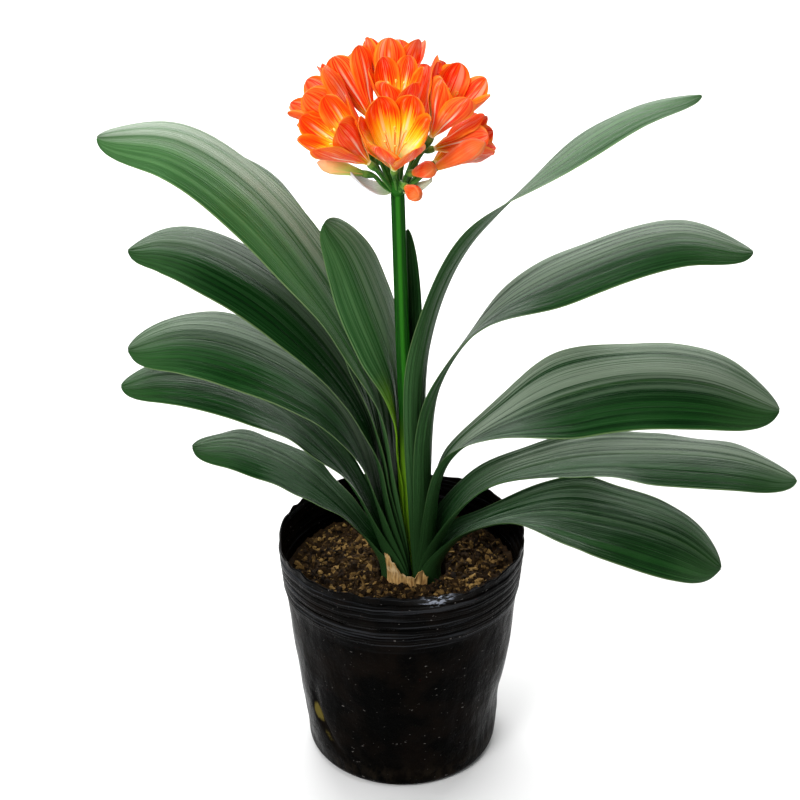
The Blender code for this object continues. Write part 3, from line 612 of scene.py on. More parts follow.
def soil_finish():
    """Bark and peat crumbs, from black to gold."""
    finish = Finish("bark_soil")
    place = finish.object_place()
    tone = finish.parts(finish.attribute("tone"))[0]
    grain = finish.noise(place, 700.0, 4.0, 0.65)
    patches = finish.noise(place, 130.0, 4.0)
    colour = finish.ramp(
        tone * 0.62 + patches * 0.46 + grain * 0.6 - 0.48,
        (0.0, (0.004, 0.002, 0.001)),
        (0.35, (0.038, 0.02, 0.006)),
        (0.58, (0.185, 0.108, 0.032)),
        (1.0, (0.58, 0.37, 0.125)),
    )
    return finish.coat(colour, 0.8 + grain * 0.15, (grain, 1.2 * MM), 0.12)


def floor_finish():
    finish = Finish("studio_floor")
    paper = finish.noise(finish.object_place(), 3.0, 2.0)
    return finish.coat(finish.mix(paper, (0.86, 0.86, 0.86), (0.9, 0.9, 0.9)), 0.85, specular=0.2)


def smooth(x):
    x = np.clip(x, 0.0, 1.0)
    return x * x * (3 - 2 * x)


def along(stations, s):
    """The value at s of a table of (share, value) pairs, eased between them."""
    value = stations[0][1]
    for (s0, v0), (s1, v1) in zip(stations, stations[1:]):
        value = value + (v1 - v0) * smooth((s - s0) / (s1 - s0))
    return value


def flowing(places, values, x):
    """A cubic curve through the values at the given places."""
    places, values = np.array(places, float), np.array(values, float)
    slope = np.gradient(values, places)
    k = np.clip(np.searchsorted(places, x, side="right") - 1, 0, len(places) - 2)
    span = places[k + 1] - places[k]
    u = (x - places[k]) / span
    start = (2 * u**3 - 3 * u**2 + 1) * values[k] + (u**3 - 2 * u**2 + u) * span * slope[k]
    return start + (3 * u**2 - 2 * u**3) * values[k + 1] + (u**3 - u**2) * span * slope[k + 1]


def curve_through(points, count):
    """count + 1 points, evenly spaced along a centripetal spline through the given points."""
    known = [Vector(p) for p in points]
    known = [2 * known[0] - known[1], *known, 2 * known[-1] - known[-2]]
    dense = []
    for p0, p1, p2, p3 in zip(known, known[1:], known[2:], known[3:]):
        t1 = (p1 - p0).length ** 0.5
        t2 = t1 + (p2 - p1).length ** 0.5
        t3 = t2 + (p3 - p2).length ** 0.5
        for k in range(SPLINE_STEPS):
            t = t1 + (t2 - t1) * k / SPLINE_STEPS
            a1 = p0.lerp(p1, t / t1)
            a2 = p1.lerp(p2, (t - t1) / (t2 - t1))
            a3 = p2.lerp(p3, (t - t2) / (t3 - t2))
            b1 = a1.lerp(a2, t / t2)
            b2 = a2.lerp(a3, (t - t1) / (t3 - t1))
            dense.append(b1.lerp(b2, (t - t1) / (t2 - t1)))
    dense = np.array([*dense, known[-2]])
    run = np.concatenate([[0.0], np.cumsum(np.linalg.norm(np.diff(dense, axis=0), axis=1))])
    goals = np.linspace(0.0, run[-1], count + 1)
    return np.stack([np.interp(goals, run, dense[:, axis]) for axis in range(3)], axis=1)


def turns(count):
    """The angles of that many places round a circle."""
    return 2 * np.pi * np.arange(count) / count


def off(angle, centre):
    """How far an angle is from a centre, the shorter way round."""
    return (angle - centre + np.pi) % (2 * np.pi) - np.pi


def hump(x):
    """1 at 0, falling away smoothly to both sides."""
    return np.exp(-(x**2))


def triples(x, y, z):
    """Points or marks from their three parts, which are stretched to one shape."""
    return np.stack(np.broadcast_arrays(x, y, z), axis=-1)


def marks_of(x, y, z):
    return triples(x, y, z).reshape(-1, 3)


def even_marks(count, *values):
    return np.tile(np.array(values, float), (count, 1))


def sheet_marks(across, along_it):
    """What a slab's finish reads at each point: its place across and along, and which face it is on."""
    front = marks_of(across, along_it, 1.0)
    return np.concatenate([front, front * (1, 1, -1)])


def unit(vectors):
    return vectors / np.maximum(np.linalg.norm(vectors, axis=-1, keepdims=True), 1e-12)


def grid_normals(surface):
    """The normal at each point of a grid of points."""
    return unit(np.cross(np.gradient(surface, axis=0), np.gradient(surface, axis=1)))


def quads(rows, columns, base=0, closed=False):
    """The faces of a grid of points, row after row, joined round where it is closed."""
    faces = []
    for i in range(rows - 1):
        for j in range(columns if closed else columns - 1):
            a = base + i * columns + j
            b = base + i * columns + (j + 1) % columns
            faces.append((a, b, b + columns, a + columns))
    return faces


def slab(surface, thickness):
    """Points and faces of a closed sheet of the given thickness about a grid of points."""
    rows, columns = surface.shape[:2]
    lift = grid_normals(surface) * (thickness / 2)
    points = np.concatenate([(surface + lift).reshape(-1, 3), (surface - lift).reshape(-1, 3)])
    under = rows * columns
    faces = [face[::-1] for face in quads(rows, columns)] + quads(rows, columns, under)
    rim = list(range(columns))
    rim += [i * columns + columns - 1 for i in range(1, rows)]
    rim += [(rows - 1) * columns + j for j in range(columns - 2, -1, -1)]
    rim += [i * columns for i in range(rows - 2, 0, -1)]
    faces += [(a, b, under + b, under + a) for a, b in zip(rim, rim[1:] + rim[:1])]
    return points, faces


def ring(radius, height, angle):
    return triples(radius * np.cos(angle), radius * np.sin(angle), height)


def turned(rows):
    """Points and faces of a stack of rings, closed by a face at each end."""
    sides = len(rows[0])
    points = np.concatenate(rows)
    faces = quads(len(rows), sides, closed=True)
    faces += [tuple(range(sides - 1, -1, -1)), tuple(len(points) - sides + k for k in range(sides))]
    return points, faces


def tube(line, radii, sides, flatten=1.0, ridges=np.ones_like):
    """Points and faces of a closed tube along a line, its first axis across lying along X where it can."""
    line = np.asarray(line, float)
    forward = unit(np.gradient(line, axis=0))
    first = np.array([1.0, 0, 0]) - forward * forward[:, :1]
    upright = np.array([0, 1.0, 0]) - forward * forward[:, 1:2]
    first = unit(np.where(np.linalg.norm(first, axis=1, keepdims=True) < 0.2, upright, first))
    second = np.cross(forward, first)
    turn = turns(sides)
    shape = ridges(turn)
    wide, deep = shape * np.cos(turn), shape * flatten * np.sin(turn)
    circle = first[:, None] * wide[:, None] + second[:, None] * deep[:, None]
    return turned(line[:, None] + circle * np.asarray(radii, float)[:, None, None])


def gather(shapes):
    """One set of points and faces, and of what a finish reads, from several shapes (points, faces, marks)."""
    points, faces, marks, base = [], [], [], 0
    for shape_points, shape_faces, shape_marks in shapes:
        points.append(shape_points)
        marks.append(shape_marks)
        faces += [tuple(base + v for v in face) for face in shape_faces]
        base += len(shape_points)
    return np.concatenate(points), faces, np.concatenate(marks)


def new_mesh(name, points, faces):
    mesh = bpy.data.meshes.new(name)
    mesh.from_pydata(np.asarray(points).tolist(), [], faces)
    return mesh


def in_scene(name, data):
    """A new object that holds the given mesh, lamp or lens."""
    made = bpy.data.objects.new(name, data)
    bpy.context.scene.collection.objects.link(made)
    return made


def set_mark(mesh, name, values):
    layer = mesh.attributes.new(name, "FLOAT_VECTOR", "POINT")
    layer.data.foreach_set("vector", np.asarray(values, np.float32).ravel())


def add_piece(name, shape, finish, nodes, marks, sharp=60):
    """A finished piece that stands for the given CAD nodes. Its marks are named vectors at each point."""
    mesh = new_mesh(name, *shape)
    for mark, values in marks.items():
        set_mark(mesh, mark, values)
    mesh.shade_smooth()
    mesh.set_sharp_from_angle(angle=math.radians(sharp))
    mesh.materials.append(finish)
    made = in_scene(name, mesh)
    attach(made, "root")
    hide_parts(*nodes)
    return made


def side_of(name):
    """-1 for a leaf of the left rank and 1 for one of the right."""
    return -1 if name.startswith("leaf_left") else 1


def row_shares():
    """The rows' places along a leaf, closer together round the tip."""
    body = np.linspace(0.0, 1 - TIP_SHARE, LEAF_STEPS - TIP_STEPS, endpoint=False)
    tip = 1 - TIP_SHARE * (1 - np.linspace(0, 1, TIP_STEPS + 1)) ** 1.6
    return np.concatenate([body, tip])


def leaf_half_width(leaf, s):
    widest = leaf["width"] / 2
    stations = [
        (0.0, leaf["sheath"] * math.radians(SHEATH_CUP)),
        (leaf.get("neck_at", NECK_AT), leaf.get("neck", NECK_SHARE) * widest),
        (leaf.get("widest", WIDEST_AT), widest),
    ]
    taper = np.maximum((s - TIP_FROM) / (1 - TIP_FROM), 0.0) ** TIP_POWER
    return along(stations, s) * np.maximum(np.sqrt(np.maximum(1 - taper, 0.0)), TIP_BLUNT)


def bare_blade(leaf, side, s, t):
    """The cupped middle surface of a leaf, without relief, in millimetres."""
    start = (FAN_X / MM + side * leaf["sheath"], 0, (STOCK_TOP + SEAT) / MM)
    spine = curve_through([start, *leaf["line"]], SPINE_STEPS)
    headings = unit(np.gradient(spine, axis=0))
    headings[0] = (0, 0, 1)
    at = np.round(s * SPINE_STEPS).astype(int)
    centre, forward = spine[at], headings[at]
    level = unit(np.array([0.0, side, 0.0]) - forward * forward[:, 1:2] * side)
    inward = np.cross(forward, level)
    roll = (np.radians(along([(0, 0), *leaf["rolls"]], s)) * side)[:, None]
    level, inward = level * np.cos(roll) + inward * np.sin(roll), inward * np.cos(roll) - level * np.sin(roll)
    cup = np.radians(along(leaf.get("cups", CUPS), s))
    cup = np.where(np.abs(cup) < 1e-3, 1e-3, cup)
    bend = (leaf_half_width(leaf, s) / cup)[:, None]
    angle = cup[:, None] * t
    surface = centre[:, None] + level[:, None] * (bend * np.sin(angle))[..., None]
    return surface + inward[:, None] * (bend * (1 - np.cos(angle)))[..., None]


def blade_relief(rng, s, t):
    """How far the groove, the pleats and the wavy margins stand off a leaf's surface, in millimetres."""
    grow = smooth((s - 0.1) / 0.25)[:, None]
    phase = rng.uniform(0, ROUND)
    groove = -GROOVE_DEPTH * hump(t / 0.1) * grow
    ribs = np.sin(t * 36 + phase) + 0.6 * np.sin(t * 23 + 2 * phase)
    pleats = PLEAT_DEPTH * ribs * grow * (1 - 0.7 * smooth((s - 0.45) / 0.4))[:, None]
    waves = 3.4 + rng.uniform(0, 1.4)
    ripple = np.sin(waves * ROUND * s + phase)[:, None] * np.sign(t)
    ripple = ripple + 0.6 * np.sin(waves * 9.7 * s + 2 * phase)[:, None]
    margin = MARGIN_WAVE * ripple * np.abs(t) ** 3 * grow
    return groove + pleats + margin


def add_leaves(finish):
    rng = random.Random(11)
    s, t = row_shares(), np.linspace(-1, 1, LEAF_ACROSS + 1)
    thickness = (LEAF_THICKNESS * (1 - 0.6 * t**2))[None, :, None]
    for number, (name, leaf) in enumerate(LEAVES.items()):
        side = side_of(name)
        surface = bare_blade(leaf, side, s, t)
        surface = surface + grid_normals(surface) * blade_relief(rng, s, t)[..., None]
        shape = slab(surface * MM, thickness)
        # the back half of the blade, towards +Y, which carries the painted sheen
        back = smooth(0.6 + side * t * 1.6) * smooth((s - 0.2) / 0.2)[:, None]
        marks = {
            "blade": sheet_marks(t, s[:, None]),
            "tone": even_marks(len(shape[0]), leaf["pale"], leaf.get("painted_sunlit_strip", 0), 3.7 * number),
            "gleam": sheet_marks(leaf["gleam"] * back, s[:, None]),
        }
        add_piece(name + "_blade", shape, finish, [name], marks)


def pot_dent(angle, height):
    """How far the soft wall stands in or out of round."""
    low = 1 - height / POT_HEIGHT
    wave = 1.3 * np.sin(2 * angle + 0.6) + 0.9 * np.sin(3 * angle + 2.0 + 9 * height)
    crease = 1.1 * np.sin(5 * angle + 30 * height) * low
    right = hump(off(angle, DENT_ANGLE) / 0.45) * hump((height - DENT_HEIGHT) / (26 * MM))
    return (wave * 0.6 + crease - DENT_DEPTH * right) * MM * np.minimum(height / (20 * MM), 1.0)


def rim_lift(angle):
    return (1.2 * np.sin(3 * angle + 0.4) + 0.7 * np.sin(7 * angle)) * MM


def pot_radius(height):
    return FOOT_RADIUS + (RIM_RADIUS - FOOT_RADIUS) * height / POT_HEIGHT


def ring_relief(height):
    """The pressed rings under the rim."""
    place = (RING_TOP - height) / RING_PITCH
    inside = (place >= 0) & (place <= RING_COUNT)
    broad = 0.75 * RING_DEPTH * np.sin(np.pi * (place % 1.0)) ** 0.6
    fine = 0.25 * RING_DEPTH * np.abs(np.sin(np.pi * 3 * place))
    return np.where(inside, broad + fine, 0.0)


def wrinkles(angle, height):
    """Small creases of the film: strongest at the rim and low on the wall."""
    x, y, z = np.cos(angle) * 5, np.sin(angle) * 5, height / (18 * MM)
    fold = np.sin(3.1 * x + 1.7 * y + 1.3 * z) * np.sin(2.3 * y - 1.9 * x + 0.9 * z + 1.0)
    fine = np.sin(7.3 * x - 3.2 * z + 2.0) * np.sin(6.1 * y + 2.7 * z)
    rim = smooth((height - 150 * MM) / (30 * MM))
    low = smooth((70 * MM - height) / (60 * MM))
    crimp = np.sin(23 * angle + 1.5 * np.sin(5 * angle)) * 0.45 * smooth((height - 172 * MM) / (8 * MM))
    return (0.35 * fold + 0.16 * fine * (0.4 + rim + low) + crimp) * MM


def tuck(angle, height):
    """How deep the pinched fold low on the wall runs at a place, from 0 to 1."""
    sideways = off(angle, TUCK_ANGLE) * FOOT_RADIUS / MM
    up = (height - TUCK_HEIGHT) / MM
    bow = sideways - 0.012 * up**2 + 0.35 * up
    return hump(bow / 3.5) * hump(up / 24)


def crumple(angle, height):
    """Where the film is crumpled at the front of the rim, from 0 to 1."""
    sideways = off(angle, CRUMPLE_ANGLE) * RIM_RADIUS / MM
    return hump(sideways / 13) * hump((height - CRUMPLE_HEIGHT) / MM / 5)


def wall_row(height, inset, angle):
    radius = pot_radius(height) - inset + pot_dent(angle, height) + ring_relief(height)
    radius = radius + wrinkles(angle, height) * smooth((height - FOOT_ROUND) / (15 * MM))
    radius = radius - TUCK_DEPTH * tuck(angle, height)
    radius = radius + CRUMPLE_DEPTH * crumple(angle, height) * np.sin(70 * angle + 3 * np.sin(height / MM))
    lift = rim_lift(angle) * smooth((height / POT_HEIGHT - 0.8) / 0.2)
    wave = np.sin(23 * angle + 3 * np.sin(7 * angle))
    lift = lift + RIM_WAVE * wave * smooth((height - 176 * MM) / (4 * MM))
    return ring(radius, height + lift, angle)


def add_pot(finish):
    angle = turns(POT_SIDES)
    rows = [ring(FOOT_RADIUS - FOOT_ROUND, 0.0, angle)]
    for k in range(1, 5):
        lean = k * math.pi / 10
        radius = FOOT_RADIUS - FOOT_ROUND * (1 - math.sin(lean))
        rows.append(ring(radius, FOOT_ROUND * (1 - math.cos(lean)), angle))
    # Up the outside, over the lip and down the inside: inset, first and last height, number of rows
    spans = [
        (0.0, FOOT_ROUND, RING_FOOT - 1 * MM, 60),
        (0.0, RING_FOOT, POT_HEIGHT - POT_LIP, 70),
        (0.2 * POT_WALL, POT_HEIGHT, POT_HEIGHT, 1),
        (0.8 * POT_WALL, POT_HEIGHT, POT_HEIGHT, 1),
        (POT_WALL, POT_HEIGHT - POT_LIP, RING_FOOT, 60),
        (POT_WALL, 130 * MM, FOOT_ROUND + POT_WALL, 12),
    ]
    for inset, first, last, count in spans:
        rows += [wall_row(height, inset, angle) for height in np.linspace(first, last, count)]
    rows.append(ring(FOOT_RADIUS - FOOT_ROUND - POT_WALL, POT_WALL, angle))
    pot = add_piece("pot_film", turned(rows), finish, ["pot"], {}, sharp=80)
    cut_drains(pot)
    mark_pot(pot.data)


def mark_pot(mesh):
    """Marks the scuffed crescents of the fold, and the crumpled patch of the rim where the finish adds gloss
    and a painted highlight.
    """
    x, y, z = np.array([vertex.co for vertex in mesh.vertices]).T
    turn = np.arctan2(y, x) % (2 * np.pi)
    bands = np.abs(np.sin((z - 18 * MM) / (46 * MM) * np.pi * 2)) ** 0.7
    crescent = tuck(turn + 0.035, z) * bands * (z > 4 * MM)
    set_mark(mesh, "scuff", marks_of(crescent, crumple(turn, z), 0.0))


def cut_drains(pot):
    """Cuts the drain holes out of the pot's floor."""
    holes = []
    for angle in turns(DRAIN_HOLES):
        centre = np.array([DRAIN_CIRCLE * math.cos(angle), DRAIN_CIRCLE * math.sin(angle), 0.0])
        ends = [ring(DRAIN_RADIUS, h, turns(20)) + centre for h in (-DRAIN_REACH, POT_WALL + DRAIN_REACH)]
        points, faces = turned(ends)
        holes.append((points, faces, even_marks(len(points), 0, 0, 0)))
    points, faces = gather(holes)[:2]
    drill = in_scene("drain_drill", new_mesh("drain_drill", points, faces))
    step = pot.modifiers.new("drains", "BOOLEAN")
    step.operation = "DIFFERENCE"
    step.object = drill
    graph = bpy.context.evaluated_depsgraph_get()
    pot.data = bpy.data.meshes.new_from_object(pot.evaluated_get(graph))
    pot.modifiers.remove(step)
    bpy.data.objects.remove(drill)


def soil_height(x, y):
    """The crumbly top of the soil, a little lower at the wall."""
    u, v = x / MM, y / MM
    lumps = 1.6 * np.sin(0.31 * u + 1.0) * np.cos(0.27 * v) + 1.1 * np.sin(0.55 * u - 0.42 * v + 2.0)
    fine = 0.9 * np.sin(0.9 * u + 0.7 * v) * np.sin(0.8 * v - 0.5 * u + 1.0)
    return SOIL_TOP + (lumps + fine) * MM - 3 * MM * (np.hypot(x, y) / RIM_RADIUS) ** 2


def soil_body():
    """The filling of the pot, with the hole that the plant's foot stands in."""
    angle = turns(SOIL_SIDES)
    inset = POT_WALL + SOIL_SLACK + 2.2 * MM
    rows = [ring(FOOT_RADIUS - FOOT_ROUND - inset, POT_WALL + SEAT, angle)]
    for height in (12 * MM, 40 * MM, 80 * MM, 120 * MM, 140 * MM):
        radius = pot_radius(height) - inset + pot_dent(angle, height) - TUCK_DEPTH * tuck(angle, height)
        rows.append(ring(radius, height, angle))
    outer = pot_radius(SOIL_TOP) - POT_WALL - SOIL_SLACK
    for share in np.linspace(0.0, 1.0, 44):
        radius = outer + (SOIL_HOLE_RADIUS - outer) * share
        shift = FAN_X * smooth((72 * MM - radius) / (40 * MM))
        edge = pot_dent(angle, SOIL_TOP) * (1 - share)
        x, y = shift + (radius + edge) * np.cos(angle), (radius + edge) * np.sin(angle)
        rows.append(triples(x, y, soil_height(x, y) - 2 * MM * smooth((share - 0.97) / 0.03)))
    rows.append(ring(SOIL_HOLE_RADIUS - 0.3 * MM, STOCK_TOP + 1 * MM, angle) + (FAN_X, 0, 0))
    points, faces = turned(rows)
    return points, faces, even_marks(len(points), 0.25, 0, 0)


def lump_solid():
    """An icosahedron: its corners, each about 1 from the middle, and its faces, turned outwards."""
    gold = (1 + 5**0.5) / 2
    corners = np.array([np.roll((a, b, 0), k) for k in range(3) for b in (gold, -gold) for a in (-1, 1)])
    faces = []
    for face in itertools.permutations(range(12), 3):
        a, b, c = corners[list(face)]
        longest = max(np.linalg.norm(edge) for edge in (a - b, b - c, c - a))
        if face[0] == min(face) and longest < 2.1 and a @ np.cross(b, c) > 0:
            faces.append(face)
    return corners / 1.9, faces


def crumb(rng, corners, centre, size):
    """The points of a small uneven lump, which are a solid's corners pushed about, and its tone."""
    push = np.array([rng.uniform(0.7, 1.25) for _ in corners])[:, None]
    stretch = np.array([rng.uniform(0.8, 2.0), rng.uniform(0.6, 1.0), rng.uniform(0.4, 0.9)])
    axis = Vector([rng.gauss(0, 1) for _ in range(3)]).normalized()
    spin = Quaternion(axis, rng.uniform(0, ROUND)).to_matrix()
    points = (corners * push * stretch) @ np.array(spin).T * size + centre
    return points, rng.choice(CRUMB_TONES)


def add_soil(finish):
    rng = random.Random(5)
    shapes = [soil_body()]
    corners, sides = lump_solid()
    inner, outer = SOIL_HOLE_RADIUS + 0.6 * MM, pot_radius(SOIL_TOP) - POT_WALL - 3.5 * MM
    while len(shapes) < CRUMBS:
        turn, reach = rng.uniform(0, 2 * math.pi), math.sqrt(rng.uniform(0, 1)) * outer
        x, y = reach * math.cos(turn), reach * math.sin(turn)
        size = rng.uniform(*(FINE_CRUMB if rng.random() < FINE_SHARE else COARSE_CRUMB)) * MM
        if math.hypot(x - FAN_X, y) < inner + size or reach + 1.5 * size > outer:
            continue
        height = float(soil_height(x, y)) + 0.25 * size
        points, tone = crumb(rng, corners, np.array([x, y, height]), size)
        shapes.append((points, sides, even_marks(len(points), tone, 0, 0)))
    points, faces, tones = gather(shapes)
    add_piece("soil_fill", (points, faces), finish, ["soil"], {"tone": tones}, sharp=35)


def foot_of(entry):
    return UMBEL + Vector(entry["foot"]) * MM, Vector(entry["way"]).normalized()


def stood(points, entry, size):
    """Points in millimetres on a flower's own axis, stood on its stalk in metres."""
    foot, way = foot_of(entry)
    turn = way.to_track_quat("Z", "Y") @ Quaternion((0, 0, 1), math.radians(entry.get("turn", 0)))
    return points * MM * size @ np.array(turn.to_matrix()).T + np.array(foot)


def spun(points, turn):
    """Points turned round Z."""
    x, y, z = points[..., 0], points[..., 1], points[..., 2]
    cos, sin = math.cos(turn), math.sin(turn)
    return triples(x * cos - y * sin, x * sin + y * cos, z)


def tepal(rng, turn, outer, opening):
    """One tepal, standing on its flower's axis at the given turn: points, faces and marks. Millimetres."""
    s = 1 - (1 - np.linspace(0, 1, TEPAL_STEPS + 1)) ** 1.35
    t = np.linspace(-1, 1, TEPAL_ACROSS + 1)
    radii, heights = zip(*TEPAL_LINE)
    height = s * TEPAL_LENGTH
    cap = np.sqrt(np.maximum(1 - np.clip((s - TEPAL_CAP) / (1 - TEPAL_CAP), 0, 1) ** 2.5, 0.004))
    half = flowing(heights, TEPAL_HALF_WIDTHS, height) * cap
    half = half * (OUTER_WHORL_SHARE if outer else 1.0) * rng.uniform(1.0, 1.06)
    shift = OUTER_WHORL_SHIFT if outer else 0.0
    out = flowing(heights, radii, height) * (1 + (opening - 1) * smooth(height / 20))
    out = out + shift * smooth(height / 12)
    out = out + rng.uniform(-0.5, 0.5) * smooth((s - 0.45) / 0.5)
    bend = np.maximum(out * (1.15 if outer else 0.95), 2.0)[:, None]
    angle = half[:, None] / bend * t
    surface = triples(out[:, None] - bend * (1 - np.cos(angle)), bend * np.sin(angle), height[:, None])
    ruffle = np.sin(s * 15 + rng.uniform(0, ROUND))[:, None] * np.abs(t) ** 3 * np.where(t > 0, 1, -0.8)
    ruffle = TEPAL_RUFFLE * ruffle * smooth((s - 0.35) / 0.4)[:, None]
    channel = -TEPAL_CHANNEL * hump(t / 0.13) * (smooth((s - 0.1) / 0.2) * smooth((1.02 - s) / 0.25))[:, None]
    pleat = TEPAL_PLEAT * np.sin(t * 19) * smooth((s - 0.15) / 0.3)[:, None]
    surface = surface - grid_normals(surface) * (ruffle + channel + pleat)[..., None]
    surface[..., 0] += smooth((s - 0.8) / 0.2)[:, None] * rng.uniform(0.1, 1.1)
    thickness = (TEPAL_THICKNESS * (1 - 0.45 * np.abs(t) ** 2))[None, :, None]
    points, faces = slab(spun(surface, turn), thickness)
    return points, faces, sheet_marks(t, s[:, None])


def marked_tube(line, radii, sides, raise_by):
    """A tube whose marks run along it from the given value, which is 1 or more on an anther."""
    points, faces = tube(line, radii, sides)
    along_it = np.repeat(np.linspace(0, 1, len(line)), sides) + raise_by
    return points, faces, marks_of(0.0, along_it, 0.0)


def stamens(rng, opening):
    """Six stamens with their anthers, and the style, on a small disc. Millimetres."""
    floor = THROAT_HEIGHT + 0.4
    shapes = [(*tube([(0, 0, floor), (0, 0, floor + 1.0)], (2.4, 1.6), 12), even_marks(24, 0, 0.1, 0))]
    s, u = np.linspace(0, 1, 14), np.linspace(-1, 1, 9)
    for k in range(7):
        style = k == 6
        reach = 0.0 if style else STAMEN_REACH * opening
        angle = 2 * math.pi * (k + 0.5) / 6
        top = STAMEN_LENGTH + (4 if style else rng.uniform(-1.5, 1.0))
        bow = rng.uniform(-0.6, 0.6) * np.sin(np.pi * s)
        line = triples(reach * (0.12 + 0.88 * s**1.2), bow, floor + 0.4 + (top - floor - 2.2) * s)
        line = spun(line, angle)
        tip = line[-1]
        shapes.append(marked_tube(line, np.full(14, STYLE_RADIUS if style else STAMEN_RADIUS), 8, 0.0))
        if style:
            for lean in turns(3):
                end = tip + (0.9 * math.cos(lean), 0.9 * math.sin(lean), 1.6)
                shapes.append(marked_tube(np.linspace(tip, end, 5), [0.4, 0.36, 0.3, 0.25, 0.15], 6, 0.6))
            continue
        tilt = np.array([math.cos(angle) * 0.5, math.sin(angle) * 0.5, 1.0])
        tilt = unit(tilt + [rng.uniform(-0.3, 0.3), rng.uniform(-0.3, 0.3), 0])
        anther = tip + tilt * (u * ANTHER_HALF)[:, None]
        shapes.append(marked_tube(anther, ANTHER_RADIUS * np.sqrt(1.02 - u**2), 10, 2.0))
    return shapes


def add_blooms(petal, stamen):
    rng = random.Random(23)
    for number, (name, entry) in enumerate(BLOOMS.items()):
        core = tube([(0, 0, 0), (0, 0, THROAT_HEIGHT)], (2.2, 4.0), 24)
        shapes = [(*core, even_marks(len(core[0]), 0.3, 0.05, 1))]
        shapes += [tepal(rng, 2 * math.pi * k / 6, k % 2 == 1, entry["opening"]) for k in range(6)]
        points, faces, marks = gather(shapes)
        tone = even_marks(len(points), 0.0, entry.get("glow", 0.08), 2.9 * number)
        points = stood(points, entry, entry["size"])
        add_piece(name + "_petals", (points, faces), petal, [name], {"petal": marks, "tone": tone})
        points, faces, marks = gather(stamens(rng, entry["opening"]))
        points = stood(points, entry, entry["size"])
        add_piece(name + "_stamens", (points, faces), stamen, ["stamens_" + name], {"petal": marks})


def add_buds(finish):
    turn = turns(BUD_SIDES)
    s = 1 - (1 - np.linspace(0, 1, 44)) ** 1.25
    width = flowing(*zip(*BUD_PROFILE), s)
    twist = turn + 0.5 * s[:, None]
    wrap = (3 * twist / (2 * np.pi)) % 1.0
    swell = np.sin(np.pi * s)[:, None]
    shape = width[:, None] * (0.95 + 0.06 * (wrap - 0.5) * swell + 0.035 * np.cos(3 * twist + 1.0) * swell)
    for name, bud in BUDS.items():
        points, faces = turned(ring(shape * bud["radius"], (s * bud["length"])[:, None], turn))
        marks = marks_of(np.abs(wrap - 0.5) * 2, s[:, None], bud["ripe"])
        add_piece(name + "_tepals", (stood(points, bud, 1.0), faces), finish, [name], {"petal": marks})


def pedicel(entry):
    """A flower's green stalk, bending up into the ovary that swells under the flower."""
    end, way = foot_of(entry)
    end = end - way * SEAT
    start = UMBEL + Vector((way.x * 2 * MM, way.y * 2 * MM, -5 * MM))
    neck = end - way * OVARY_LENGTH
    bend = start.lerp(neck, 0.55) + (neck - UMBEL).cross(way).cross(way).normalized() * 0.8 * MM
    line = curve_through([start, bend, neck, end - way * 0.4 * OVARY_LENGTH, end], 30)
    reach = np.linalg.norm(line - np.array(end), axis=1) / OVARY_LENGTH
    swell = np.clip(1 - reach, 0, 1)
    radii = PEDICEL_RADIUS + (OVARY_RADIUS - PEDICEL_RADIUS) * np.sin(np.pi * np.clip(swell * 0.78, 0, 1))
    points, faces = tube(line, radii, PEDICEL_SIDES)
    along_it = np.repeat(np.clip(1 - reach * 0.5, 0, 1), PEDICEL_SIDES)
    turn = np.tile(np.linspace(0, 1, PEDICEL_SIDES, endpoint=False), len(line))
    return points, faces, marks_of(turn * 0.3, along_it, 1.0)


def scape_ridges(turn):
    """The stalk's cross section: two keeled edges and shallow furrows between."""
    return 1 + 0.045 * np.cos(2 * turn) + 0.035 * np.cos(6 * turn + np.pi) + 0.012 * np.cos(14 * turn)


def add_scape(finish):
    line = curve_through(SCAPE_LINE, SCAPE_STEPS) * MM
    line[0, 2] += SEAT
    share = np.linspace(0, 1, len(line))
    radii = SCAPE_HALF_WIDTH * (1.03 - 0.15 * share)
    points, faces = tube(line, radii, SCAPE_SIDES, SCAPE_HALF_DEPTH / SCAPE_HALF_WIDTH, scape_ridges)
    # the middle of the stalk's front and back faces, where the finish paints a highlight
    painted_face_highlight = np.tile(np.abs(np.sin(turns(SCAPE_SIDES))) ** 7, len(line))
    shapes = [(points, faces, marks_of(painted_face_highlight, np.repeat(share * 4, SCAPE_SIDES), 0.0))]
    rises = np.linspace(KNOB[0][0], KNOB[-1][0], KNOB_STEPS)
    knob = np.array([UMBEL + Vector((0, 0, z * MM)) for z in rises])
    points, faces = tube(knob, flowing(*zip(*KNOB), rises) * MM, 40)
    shapes.append((points, faces, even_marks(len(points), 0.6, 3.5, 0.0)))
    shapes += [pedicel(entry) for entry in [*BLOOMS.values(), *BUDS.values()]]
    points, faces, marks = gather(shapes)
    add_piece("flower_stalk", (points, faces), finish, ["scape"], {"stalk": marks})


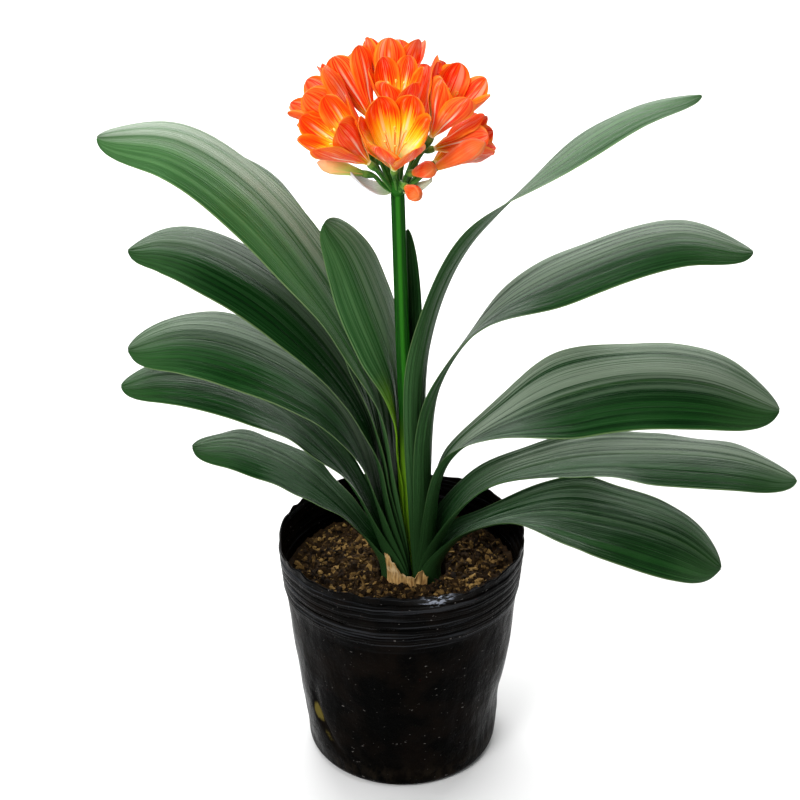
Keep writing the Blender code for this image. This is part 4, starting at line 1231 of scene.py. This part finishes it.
def add_bracts(finish):
    """The papery bracts of the spathe, standing out under the flowers."""
    s, t = np.linspace(0, 1, 36), np.linspace(-1, 1, 15)
    for number, (angle, length, half, lilac) in enumerate(BRACTS, 1):
        name = f"bract_{number}"
        out = np.array([math.cos(math.radians(angle)), math.sin(math.radians(angle)), 0])
        across = np.array([-out[1], out[0], 0])
        foot = np.array(UMBEL) + out * BRACT_FOOT + (0, 0, BRACT_DROP)
        centre = foot + out * (length * MM * s)[:, None] + UP * (length * BRACT_RISE * s * s * MM)[:, None]
        width = (half * MM * np.maximum(np.sin(math.pi * (0.2 + 0.78 * s)), 0.1))[:, None]
        surface = centre[:, None] + across * (width * t)[..., None]
        lift = BRACT_CUP * t**2 + 0.3 * MM * np.sin(9 * s[:, None] + 4 * t) * s[:, None]
        lift = lift + BRACT_ROLL * across[1] * width * t
        marks = sheet_marks(t, s[:, None])
        marks[:, 2] = lilac
        shape = slab(surface + UP * lift[..., None], BRACT_THICKNESS)
        add_piece(name + "_paper", shape, finish, [name], {"petal": marks})


def add_husk(finish):
    """The dry tan sheath of a shed leaf, torn along its slanting top, round the front of the plant's foot."""
    rng = random.Random(9)
    share = np.linspace(0, 1, HUSK_COLUMNS)
    rise = np.linspace(0, 1, HUSK_ROWS)[:, None]
    angle = np.radians(HUSK_FROM + HUSK_SPAN * share)
    tear = np.convolve([rng.uniform(-1, 1) for _ in range(HUSK_COLUMNS + 4)], [0.2] * 5, "valid")
    top = (along(HUSK_TOP, share) + HUSK_TEAR * tear) * MM
    height = STOCK_TOP + 0.5 * MM + (SOIL_TOP - STOCK_TOP + top) * rise
    crease = np.sin(share * 26 + 3 * np.sin(share * 7)) * rise + 0.6 * np.sin(9 * rise + 14 * share)
    reach = SOIL_HOLE_RADIUS - 0.7 * MM + 2.4 * MM * rise**3 + HUSK_CREASE * crease
    shape = slab(ring(reach, height, angle) + (FAN_X, 0, 0), HUSK_THICKNESS)
    add_piece("husk_paper", shape, finish, ["husk"], {"petal": sheet_marks(share, rise)})


def add_floor():
    """A pale floor that sweeps up into a backdrop."""
    depth = [(FLOOR_FRONT, 0.0), (SWEEP_START, 0.0)]
    for lean in np.linspace(0.1, math.pi / 2, 14):
        back = SWEEP_START + SWEEP_RADIUS * math.sin(lean)
        depth.append((back, SWEEP_RADIUS - SWEEP_RADIUS * math.cos(lean)))
    depth.append((SWEEP_START + SWEEP_RADIUS, BACKDROP_TOP))
    points = [(x, y, z - FLOOR_DROP) for y, z in depth for x in (-FLOOR_HALF_WIDTH, FLOOR_HALF_WIDTH)]
    faces = [(2 * i, 2 * i + 1, 2 * i + 3, 2 * i + 2) for i in range(len(depth) - 1)]
    mesh = new_mesh("studio_floor", points, faces)
    mesh.shade_smooth()
    mesh.materials.append(floor_finish())
    floor = in_scene("studio_floor", mesh)


def add_lights():
    for name, light in LIGHTS.items():
        lamp = bpy.data.lights.new(name, "AREA")
        lamp.shape = "RECTANGLE"
        lamp.size, lamp.size_y = light["size"]
        lamp.energy = light["power"]
        made = in_scene(name, lamp)
        made.location = light["place"]
        aim = Vector(light["aim"]) - Vector(light["place"])
        made.rotation_euler = aim.to_track_quat("-Z", "Y").to_euler()
    world = bpy.data.worlds.new("studio_air")
    bpy.context.scene.world = world
    world.use_nodes = True
    air = world.node_tree.nodes["Background"].inputs
    air["Color"].default_value = (1, 1, 1, 1)
    air["Strength"].default_value = AIR_LIGHT


def add_camera():
    """The photograph's view: a little above the flowers, looking down on the pot."""
    lens = bpy.data.cameras.new("front_view")
    lens.lens = CAMERA_LENS
    lens.sensor_width = CAMERA_SENSOR
    lens.shift_x = CAMERA_SHIFT
    camera = in_scene("front_view", lens)
    camera.location = CAMERA_PLACE
    camera.rotation_euler = (CAMERA_TILT, 0.0, 0.0)
    scene = bpy.context.scene
    scene.camera = camera
    scene.view_settings.view_transform = "Standard"
    scene.view_settings.look = "None"


def main():
    add_pot(pot_finish())
    add_soil(soil_finish())
    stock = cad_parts["root_stock"].data.materials
    stock.clear()
    stock.append(stock_finish())
    add_leaves(leaf_finish())
    add_husk(husk_finish())
    add_scape(scape_finish())
    add_blooms(petal_finish(), stamen_finish())
    add_buds(bud_finish())
    add_bracts(bract_finish())
    add_floor()
    add_lights()
    add_camera()


main()
